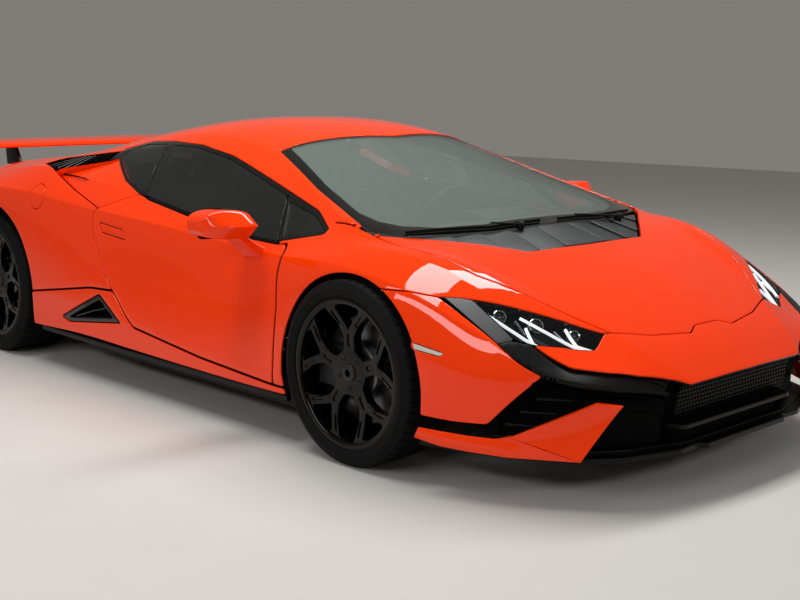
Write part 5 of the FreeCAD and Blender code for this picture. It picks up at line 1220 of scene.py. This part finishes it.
rings = []
for across_share, rear, front, foot, top in smooth_table:
    corners = np.array([(rear, foot), (front * 0.5, foot), (front, -0.06), (front * 0.4, top), (rear, top * 0.92)])
    loop = stepped(np.vstack([corners, corners[:1]]) * 100, 4.0) / 100
    loop = np.vstack([loop[:-1], loop[:1]])
    loop = smoothed(spaced(loop, run_length(loop), 56), 1)
    rings.append(np.column_stack([loop[:, 0], np.full(56, across_share), loop[:, 1]]) * MIRROR_SIZE + MIRROR_AT)
rings = np.array(rings)
inner_end, outer_end = rings[:1], rings[-1:]
rings = np.concatenate([shrunk(inner_end, 0.03), shrunk(inner_end, 0.8), rings, shrunk(outer_end, 0.8),
                        shrunk(outer_end, 0.03)])
points, faces = strip(rings)
mirror_head = [(points, faces, 0)]
glass_line = both_sides([(0, -52), (44, -50), (58, -38), (64, 0), (58, 34), (38, 43), (0, 44)])
mirror_glass = plate([glass_line], plane((613.4, 1027, 802), (0, -1, 0), (0, 0, 1)), 3, edge=1.2, pitch=5, passes=2)
bezel = wall_band(glass_line, plane((612.4, 1027, 802), (0, -1, 0), (0, 0, 1)),
                  [(0, 6), (0, 0), (2, -1), (6, 1), (9, 12)], 5, 1.0)
stem = np.array([(700, 890, 692), (702, 904, 700), (704, 930, 718), (706, 958, 738), (708, 978, 754),
                 (709, 992, 768)], float)
mirror_stem = swept(stem, rounded(104, 40, 14, 6), sizes=[(1.12, 1.15), (1.02, 1.0), (0.94, 0.9), (0.92, 0.86),
                                                          (0.92, 0.86), (0.92, 0.8)])
pair("mirror_head", mirror_head, ["orange_lacquer"], ["mirror_%s"], "paint", DOOR_BODY, outward=True, smooth=40)
pair("mirror_glass", mirror_glass, ["mirror_glass", "mirror_glass"], ["mirror_%s"], "glass", DOOR_BODY, outward=True)
pair("mirror_bezel", bezel, ["satin_black"], ["mirror_%s"], "black_gloss", DOOR_BODY)
pair("mirror_stem", mirror_stem, ["orange_lacquer"], ["mirror_%s"], "paint", DOOR_BODY, outward=True, smooth=40)

# Wipers: a flat arm from its spindle in the cowl, and a blade with its rubber on the glass.
BLADES = (((1312, 600), (1366, 328), (1378, 60)), ((1374, -40), (1366, -310), (1278, -655)))
SPINDLES = ((1398, 420, 1366, 180), (1398, -180, 1350, -290))
wiper_parts = []
for blade, (x, y, reach_x, reach_y) in zip(BLADES, SPINDLES):
    spots = either_side(stepped(np.array(blade, float), 18))
    wiper_parts += swept(on_body(spots, -4), rounded(5, 11, 2, 3))
    wiper_parts += swept(on_body(spots, -10), rounded(11, 5, 2, 3))
    spots = either_side(stepped(np.array([(x, y), (reach_x, reach_y)], float), 18))
    wiper_parts += swept(on_body(spots, -14), rounded(15, 6, 2.5, 3),
                         sizes=np.column_stack([np.linspace(1.2, 0.6, len(spots)), np.ones(len(spots))]))
    foot = on_body(spots[:1], -8)[0]
    wiper_parts += turned([(0, 16), (12, 16), (15, 12), (16, 0), (16, -12), (0, -12)], foot, (0.35, 0, 0.94), 24)
piece("wipers_and_arms", wiper_parts, ["wiper_black"], "chassis", ["wipers"], "black_matte", outward=True)

# ---------------------------------------------------------------- cabin


def pad(centre, half, round_power=5.0, crown=0.30, waist=0.05, lean=0.0, channels=(), count=36, groove=7.0):
    """A stuffed pad: a rounded block (a power curve in each plane) whose faces crown outwards in the middle and whose
    sides pull in between the corners, with sewn channels across its top and a seam round its edge. It leans back
    about the cross axis by an angle in degrees."""
    u, v = np.meshgrid(np.linspace(-np.pi, np.pi, count * 2, endpoint=False),
                       np.linspace(-np.pi / 2, np.pi / 2, count), indexing="ij")
    power = 2 / round_power

    def powered(value):
        return np.sign(value) * np.abs(value) ** power

    x, y, z = powered(np.cos(v)) * powered(np.cos(u)), powered(np.cos(v)) * powered(np.sin(u)), powered(np.sin(v))
    pull = waist * ((1 - x**2) * np.abs(y) ** 3 + (1 - y**2) * np.abs(x) ** 3)
    swell = crown * (1 - x**2) * (1 - y**2)
    points = np.stack([x * (1 - pull) * half[0], y * (1 - pull) * half[1], z * (0.8 + swell) * half[2]], -1)
    for place in channels:
        near = np.exp(-((points[..., 0] - place) / 5.0) ** 2) * (z > 0.2) * np.clip((0.8 - np.abs(y)) * 8, 0, 1)
        points[..., 2] -= groove * near
    seam = np.exp(-(z / 0.10) ** 2) * (np.maximum(np.abs(x), np.abs(y)) > 0.9)
    points[..., :2] *= (1 - 0.02 * seam)[..., None]
    turn = math.radians(lean)
    spin = np.array([[math.cos(turn), 0, math.sin(turn)], [0, 1, 0], [-math.sin(turn), 0, math.cos(turn)]])
    points = points @ spin.T + np.asarray(centre, float)
    mesh_points, faces = strip(np.concatenate([points, points[:1]]).transpose(1, 0, 2)[:, :-1], True)
    return [(mesh_points, faces, 0)]


BACK_ANGLE = 24


def leaned(along, out):
    """A place on the seat's back: distance up the back from its foot and out from its face, as (x, z)."""
    angle = math.radians(BACK_ANGLE)
    return (np.array([-12.0, 268.0]) + along * np.array([-math.sin(angle), math.cos(angle)])
            + out * np.array([math.cos(angle), math.sin(angle)]))


def back_part(along, out, y, half, **form):
    """A pad that leans with the seat's back."""
    x, z = leaned(along, out)
    return pad((x, y, z), half, lean=90 - BACK_ANGLE, **form)


for sign, side in SIDES:
    seat = "seat_" + side
    y = 370 * sign
    cushion = pad((262, y, 318), (228, 150, 62), channels=(-110, -40, 30, 100), lean=-4)
    back_pad = back_part(330, 18, y, (270, 140, 52), channels=(-170, -95, -20, 55, 130))
    head_pad = back_part(640, 30, y, (92, 118, 44))
    bolsters = []
    for out in (1, -1):
        bolsters += pad((262, y + out * 196, 328), (222, 44, 78), waist=0.02, crown=0.2, lean=-4, count=26)
        bolsters += back_part(300, 34, y + out * 188, (240, 44, 74), waist=0.02, crown=0.2, count=26)
    shell_parts = back_part(360, -52, y, (352, 226, 34), round_power=7, crown=0.1, waist=0.03, count=30)
    shell_parts += pad((250, y, 226), (246, 232, 84), round_power=8, crown=0.05, waist=0.0, count=30)
    for label, parts, material in (("cushion", cushion, "microfibre"), ("back_pad", back_pad, "microfibre"),
                                   ("head_rest", head_pad, "black_leather"), ("bolsters", bolsters, "black_leather")):
        thing = piece("%s_%s" % (seat, label), parts, [material], "chassis", [seat], "leather", outward=True,
                      smooth=60)
    piece(seat + "_shell", shell_parts, ["gloss_black"], "chassis", [seat], "black_gloss", outward=True, smooth=50)

# Dashboard: an eased section carried across the car, with a hooded binnacle, hexagonal vents and a centre screen.
DASH_SECTION = [(702, 604), (712, 660), (742, 716), (800, 734), (864, 734), (864, 458), (842, 456), (774, 472),
                (716, 560)]
FRONT_SECTION = [(858, 733), (998, 733), (998, 442), (858, 458)]
SHELF = [(905, 716), (905, 738), (960, 757), (1100, 752), (1305, 733), (1305, 716)]


def eased_outline(corners, passes=3, pitch=9.0):
    """A closed (x, z) outline with points evenly spaced and its corners eased, as (across, up)."""
    dense = stepped(np.array(list(corners) + [corners[0]], float), 2.0)
    length = run_length(dense)
    return smoothed(spaced(dense, length, int(length[-1] / pitch)), passes)


def across_car(corners, half, end_round=14):
    """A section carried from side to side, its ends rounded over."""
    y = np.concatenate([np.linspace(-half, -half + end_round, 4),
                        np.linspace(-half + 3 * end_round, half - 3 * end_round, 25),
                        np.linspace(half - end_round, half, 4)])
    outline = eased_outline(corners)
    middle = outline.mean(axis=0)
    ease = 1 - 0.10 * np.clip((np.abs(y) - half + end_round) / end_round, 0, 1) ** 2
    path = np.column_stack([np.full(len(y), middle[0]), y, np.full(len(y), middle[1])])
    return swept(path, outline - middle, sizes=np.column_stack([ease, ease]))


dash_parts = across_car(DASH_SECTION, 733) + across_car(FRONT_SECTION, 513) + across_car(SHELF, 638)
hood_line = np.array([(700, 372, 742), (716, 372, 752), (760, 372, 758), (820, 372, 752), (862, 372, 738)], float)
dash_parts += swept(hood_line, rounded(330, 34, 15, 6),
                    sizes=[(0.8, 0.7), (0.95, 1), (1, 1), (0.95, 0.8), (0.8, 0.4)])
console_x = np.linspace(-118, 740, 30)
console_path = np.column_stack([console_x, np.zeros(30),
                                np.interp(console_x, (-118, 300, 560, 740), (290, 288, 300, 360))])
console_height = np.interp(console_x, (-118, -90, 740), (0.9, 1, 1))
dash_parts += swept(console_path, rounded(214, 296, 26, 6), sizes=np.column_stack([np.ones(30), console_height]))
piece("dashboard_moulding", dash_parts, ["dash_moulding"], "chassis", ["dashboard"], "dash", outward=True, smooth=50)
vent_parts = []
for y in (-610, -130, 130, 640):
    vent_parts += turned([(44, -6), (46, 4), (42, 7), (37, 4), (36, -6)], (716, y, 676), (-0.93, 0, 0.36), 6)
    for height in (-18, -6, 6, 18):
        x = 716 - 0.36 * height * 0.4
        bar = np.array([(x, y - 30, 676 + height), (x, y + 30, 676 + height)])
        vent_parts += swept(bar, rounded(14, 3, 1.2, 3))
piece("dashboard_vents", vent_parts, ["gloss_black"], "chassis", ["dashboard"], "black_gloss", outward=True,
      smooth=25)
screen_parts = plate([rounded(150, 230, 12, 5)], plane((668, 0, 520), (0, -1, 0), (0.64, 0, 0.77)), 14, edge=3)
screen_parts += plate([rounded(260, 88, 14, 5)], plane((704, 372, 716), (0, -1, 0), (0.3, 0, 0.954)), 10, edge=3)
piece("dashboard_screens", screen_parts, ["display_glass", "display_glass"], "chassis", ["dashboard"], "dash",
      outward=True)
dials = turned([(40, 2), (44, 4), (47, 2), (47, -2), (40, -2)], (701, 372, 718), (-0.95, 0, 0.3), 48)
for y in (448, 296):
    dials += turned([(24, 2), (27, 4), (29, 2), (29, -2), (24, -2)], (701, y, 716), (-0.95, 0, 0.3), 36)
piece("instrument_bezels", dials, ["reflector"], "chassis", ["dashboard"], "dash", outward=True, smooth=30)
buttons = []
for x in (120, 160, 200, 240):
    for y in (-42, 0, 42):
        buttons += swept(np.array([(x - 13, y, 440), (x + 13, y, 440)]), rounded(30, 10, 4, 4))
piece("console_buttons", buttons, ["satin_black"], "chassis", ["dashboard"], "black_gloss", outward=True)
stitch = []
seam_x = np.linspace(-100, 560, 60)
for y in (-92.0, 92.0):
    run = np.column_stack([seam_x, np.full(60, y), np.interp(seam_x, (-118, 300, 560), (434, 435, 446))])
    stitch += swept(run, circle(1.6, 8))
piece("console_stitching", stitch, ["orange_thread"], "chassis", ["dashboard"], "leather", outward=True)

# Steering wheel: a grip with a flattened foot, thumb swells, three spokes and a plain centre boss, on its column.
RAKE = math.radians(24)
GRIP_RADIUS = 172.0
column_way = np.array([-math.cos(RAKE), 0, math.sin(RAKE)])
wheel_at = np.array([470.0, 370.0, 690.0])
wheel_left = np.array([0, 1.0, 0])
wheel_up = np.array([math.sin(RAKE), 0, math.cos(RAKE)])
turn = np.linspace(0, 2 * np.pi, 96, endpoint=False)
reach = np.where(np.sin(turn) < -0.80, GRIP_RADIUS * 0.80 / np.maximum(-np.sin(turn), 0.8), GRIP_RADIUS)
reach = smoothed(reach, 4)
grip = wheel_at + (reach * np.cos(turn))[:, None] * wheel_left + (reach * np.sin(turn))[:, None] * wheel_up
thumb = 1 + 0.10 * np.exp(-((np.abs(np.cos(turn)) - 0.92) / 0.1) ** 2) * (np.sin(turn) > 0)
wheel_parts = swept(grip, circle(14.2, 18), column_way, True, sizes=np.column_stack([thumb, np.ones(96)]))
piece("steering_wheel_grip", wheel_parts, ["black_leather"], "steering_wheel_body", ["steering_wheel"], "leather",
      outward=True)
boss = []
for angle in (5, 175, 270):
    way = math.cos(math.radians(angle)) * wheel_left + math.sin(math.radians(angle)) * wheel_up
    length = 132 if angle == 270 else 166
    line = wheel_at + np.linspace(30, length, 9)[:, None] * way - 6 * column_way
    taper = np.column_stack([np.linspace(1.25, 0.6, 9), np.ones(9)])
    boss += swept(line, rounded(40, 11, 4, 4), column_way, sizes=taper)
boss += turned([(0, 17), (34, 16), (50, 10), (57, 0), (56, -18), (36, -26), (0, -26)], wheel_at, column_way, 48)
piece("steering_wheel_spokes", boss, ["satin_black"], "steering_wheel_body", ["steering_wheel"], "black_gloss",
      outward=True, smooth=40)
column = turned([(0, -30), (30, -30), (33, -40), (34, -150), (38, -200), (38, -330), (0, -330)], wheel_at,
                column_way, 36)
for y in (1, -1):
    stalk = np.array([wheel_at - 62 * column_way + np.array([0, y * 30, 0]),
                      wheel_at - 58 * column_way + np.array([0, y * 132, 24])])
    column += swept(stepped(stalk, 20), rounded(12, 20, 5, 4))
piece("steering_column", column, ["dash_moulding"], "chassis", ["dashboard"], "dash", outward=True, smooth=40)
shelf_back = shell(blended([(-250, 560, 806), (-250, -560, 806), (-470, -560, 812), (-470, 560, 812)]), 6, 8, 8)
piece("rear_shelf", shelf_back, ["dash_moulding"], "chassis", slot="dash", outward=True)

# ---------------------------------------------------------------- wheels

HUBS = {"front": (1280, 834, 327.5, 122), "rear": (-1340, 812, 345.5, 152)}
BARREL = 244
SPOKES = 5


def tyre_parts(x, y, radius, half):
    """A tyre's skin over (angle, width): the profile of bead, bulged wall, shoulder and tread, with four grooves
    round it and slanted notches across it, four rows of points to each notch."""
    lip = half - 10
    side = [(254, lip - 12), (267, lip - 12), (267, lip - 1), (270, lip + 3), (276, half - 4), (284, half - 1),
            (292, half), (293.5, half + 1.2), (297, half + 1.2), (298.5, half), (radius - 24, half - 3),
            (radius - 22, half - 4.5), (radius - 12, half - 8), (radius - 5, half - 14), (radius - 1.5, half - 20)]
    grooves = np.array([0.62, 0.21, -0.21, -0.62]) * (half - 20)
    tread = [(r, g + w) for g in grooves
             for r, w in ((radius, 5.5), (radius - 1, 4.2), (radius - 7, 3), (radius - 7, -3), (radius - 1, -4.2),
                          (radius, -5.5))]
    profile = np.array(side + tread + [(r, -w) for r, w in side[::-1]])
    pitches = 54
    angle = (np.arange(pitches)[:, None] + np.array([0.0, 0.07, 0.14, 0.57])).ravel() * 2 * np.pi / pitches
    notch = np.tile([0.0, 1.0, 0.0, 0.0], pitches)
    r, w = profile.T
    across = (r > radius - 8.5) & (np.abs(w) < half - 9)
    depth = notch[:, None] * np.where(across & (r > radius - 3), 5.0, 0.0)
    slant = np.where(across, np.abs(w) * 0.0010, (half - 9) * 0.0010)
    turn = angle[:, None] + slant
    far = r - depth
    rows = np.stack([x + far * np.cos(turn), np.broadcast_to(y + w, far.shape), radius + far * np.sin(turn)], -1)
    points, faces = strip(np.concatenate([rows, rows[:1]]))
    return [(points, faces, 0)]


def around(local, spoke, offset=0.0):
    """Points (along the spoke, across it) turned to the spoke's place, as (up, forward)."""
    turn = math.radians(90 + offset + spoke * 360 / SPOKES)
    local = np.asarray(local, float)
    return np.column_stack([local[:, 0] * math.sin(turn) + local[:, 1] * math.cos(turn),
                            local[:, 0] * math.cos(turn) - local[:, 1] * math.sin(turn)])


def rim_arc(radius, start, end, count=7):
    """Part of a circle round the hub between two angles in degrees."""
    turn = np.radians(np.linspace(start, end, count))
    return np.column_stack([radius * np.cos(turn), radius * np.sin(turn)])


def spoke_face(x, y, z, lip, drop):
    """The spokes' front: a shallow dish that falls 15 mm from the barrel to the hub."""
    def face(a, b):
        a, b = matched(a, b)
        rise = np.clip((np.hypot(a, b) - 60) / 184, 0, 1)
        return np.stack([x + b, y + lip - 25 + 15 * rise**1.6 - drop, z + a], -1)
    return face


GAP_HALF = [(82, 27), (128, 26), (170, 52), (216, 113)]
FORK_GAP = [(152, 0), (184, 26), (224, 64), (240, 40), (243, 0), (240, -40), (224, -64), (184, -26)]
STEM_POCKET = [(96, 9), (134, 8), (142, 0), (134, -8), (96, -9), (90, 0)]
ARM_POCKET = [(168, 34), (206, 70), (214, 84), (205, 83), (166, 45)]
# A gap's other side is the first one mirrored about the middle between two spokes, 36 degrees on.
gap_reach = np.hypot(*np.array(GAP_HALF).T)
gap_angle = np.radians(72 - np.degrees(np.arctan2(*np.array(GAP_HALF).T[::-1])))
other_half = np.column_stack([gap_reach * np.cos(gap_angle), gap_reach * np.sin(gap_angle)])
gap_shape = np.vstack([GAP_HALF, rim_arc(243, 28.5, 43.5), other_half[::-1], rim_arc(80, 48, 24, 5)])
windows = [around(shape, n) for n in range(SPOKES) for shape in (gap_shape, FORK_GAP)]
pockets = [around(shape, n) for n in range(SPOKES)
           for shape in (STEM_POCKET, ARM_POCKET, [(s, -t) for s, t in ARM_POCKET])]
CALIPER_ANGLE = {"front": 205, "rear": 160}

for end, (x, y, z, half) in HUBS.items():
    lip = half - 10
    centre = (x, y, z)
    front, core = spoke_face(x, y, z, lip, 0), spoke_face(x, y, z, lip, 5)
    spider = plate([circle(BARREL + 3, 120)] + windows + pockets, front, 5, edge=2.2, pitch=6)
    spider += plate([circle(BARREL + 3, 120)] + windows, core, 30, edge=0.3, pitch=6)
    barrel = turned([(242, lip - 5), (246, lip - 1.5), (252, lip), (262, lip), (266, lip - 1.5), (267, lip - 5),
                     (267, lip - 12), (252, lip - 14), (246, lip - 30), (246, 14 - lip), (252, 14 - lip),
                     (267, 12 - lip), (267, -lip), (242, -lip)], centre, segments=120)
    hub = turned([(0, lip - 17), (26, lip - 17), (29.5, lip - 18), (31, lip - 20), (32, lip - 24), (32, lip - 34)],
                 centre, segments=48)
    bolts = []
    for n in range(SPOKES):
        u, v = around([(56, 0)], n, 36)[0]
        bolts += turned([(0, lip - 27), (5, lip - 27), (5.5, lip - 22), (8.8, lip - 21), (9.5, lip - 23),
                         (10.5, lip - 24), (10.5, lip - 30)], (x + v, y, z + u), segments=12)
    disc = turned([(98, -17), (188, -17), (190, -16), (190, -4), (180, -4), (180, 4), (190, 4), (190, 16), (188, 17),
                   (104, 17), (98, 15), (98, lip - 66), (92, lip - 60), (40, lip - 60), (40, lip - 66),
                   (88, lip - 66), (88, 10)], centre, segments=96)
    arc = np.radians(np.linspace(CALIPER_ANGLE[end] - 29, CALIPER_ANGLE[end] + 29, 21))
    path = np.column_stack([x + 158 * np.cos(arc), np.full(21, y + 0.0), z + 158 * np.sin(arc)])
    ease = np.sqrt(np.clip(1 - np.abs(np.linspace(-1, 1, 21))**6, 0.12, 1))
    caliper = swept(path, rounded(112, 74, 12), (0, 1, 0),
                    sizes=np.column_stack([0.45 + 0.55 * ease, 0.7 + 0.3 * ease]))
    wheel, tyre, rim = (kind + "_" + end + "_%s" for kind in ("wheel", "tyre", "rim"))
    pair("tyre_tread_" + end, tyre_parts(x, y, z, half), ["tyre_rubber"], [tyre], "tyre", wheel, outward=True)
    pair("alloy_rim_" + end, spider + barrel, ["black_alloy"], [rim], "rim", wheel, outward=True, smooth=30)
    pair("hub_cap_and_bolts_" + end, hub + bolts, ["dark_steel"], [rim], "rim", wheel, outward=True, smooth=30)
    pair("brake_disc_" + end, disc, ["disc_iron"], [rim], "iron", wheel, outward=True, smooth=30)
    pair("brake_caliper_" + end, caliper, ["caliper_paint"], [],
         rides="knuckle_%s_body" if end == "front" else "chassis", outward=True)

# Solids that no piece replaces are shown as they are, each in its own finish.
CARRIED_OVER = {"floor_tub": "moulded_black", "wheel_liners": "moulded_black", "engine_block": "cast_aluminium",
                "suspension": "dark_steel", "knuckle_left": "dark_steel", "knuckle_right": "dark_steel"}
for node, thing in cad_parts.items():
    for material_slot in thing.material_slots:
        material_slot.material = MATERIALS[CARRIED_OVER.get(node, "gloss_black")]

# ---------------------------------------------------------------- floor, light and camera

FLOOR_HALF = 14.0


def flat_sheet(name, corners, material):
    """A flat sheet for the stage, which is not part of the car."""
    mesh = bpy.data.meshes.new(name)
    mesh.from_pydata(corners, [], [tuple(range(len(corners)))])
    mesh.materials.append(material)
    thing = bpy.data.objects.new(name, mesh)
    bpy.context.scene.collection.objects.link(thing)
    return thing


# Pale matte studio floor.
finish("studio_floor", ("#C8C6C2", "#CDCBC7"), 0.7, 0.05, grain=0.4, bump=0.02)
flat_sheet("floor", [(-FLOOR_HALF, -FLOOR_HALF, 0), (FLOOR_HALF, -FLOOR_HALF, 0), (FLOOR_HALF, FLOOR_HALF, 0),
                     (-FLOOR_HALF, FLOOR_HALF, 0)], MATERIALS["studio_floor"])

world = bpy.data.worlds.new("studio")
bpy.context.scene.world = world
world.use_nodes = True
backdrop = world.node_tree.nodes["Background"]
backdrop.inputs["Color"].default_value = linear("#CFCBC4")
backdrop.inputs["Strength"].default_value = 0.34


def soft_lamp(name, place, aim, size, power):
    """A large soft lamp that faces a point."""
    light = bpy.data.lights.new(name, "AREA")
    light.shape = "RECTANGLE"
    light.size, light.size_y = size
    light.energy = power
    thing = bpy.data.objects.new(name, light)
    bpy.context.scene.collection.objects.link(thing)
    way = Vector(aim) - Vector(place)
    thing.matrix_world = Matrix.Translation(place) @ way.to_track_quat("-Z", "Y").to_matrix().to_4x4()
    return thing


soft_lamp("overhead", (0.5, 0.0, 5.0), (0.3, 0, 0.5), (6.0, 1.2), 285)
soft_lamp("side", (1.0, -6.5, 3.2), (0.2, 0, 0.6), (6.5, 0.6), 105)
soft_lamp("front", (7.0, -1.0, 3.0), (1.5, 0, 0.5), (3.0, 0.8), 60)

# The camera stands as the photograph's did: ahead on the car's right, 1.3 m up.
AZIMUTH, ELEVATION, ROLL = (math.radians(angle) for angle in (46.542, 9.830, 0.134))
back = Vector((math.sin(AZIMUTH) * math.cos(ELEVATION), -math.cos(AZIMUTH) * math.cos(ELEVATION),
               math.sin(ELEVATION)))
right = Vector((math.cos(AZIMUTH), math.sin(AZIMUTH), 0))
up = back.cross(right)
right, up = right * math.cos(ROLL) + up * math.sin(ROLL), up * math.cos(ROLL) - right * math.sin(ROLL)
camera_data = bpy.data.cameras.new("camera")
camera_data.lens, camera_data.sensor_width, camera_data.sensor_fit = 55.62, 36.0, "HORIZONTAL"
camera_data.clip_end = 60
camera = bpy.data.objects.new("camera", camera_data)
bpy.context.scene.collection.objects.link(camera)
camera.matrix_world = Matrix.Translation((4.413, -3.650, 1.302)) @ Matrix((right, up, back)).transposed().to_4x4()
bpy.context.scene.camera = camera
bpy.context.scene.view_settings.view_transform = "Standard"
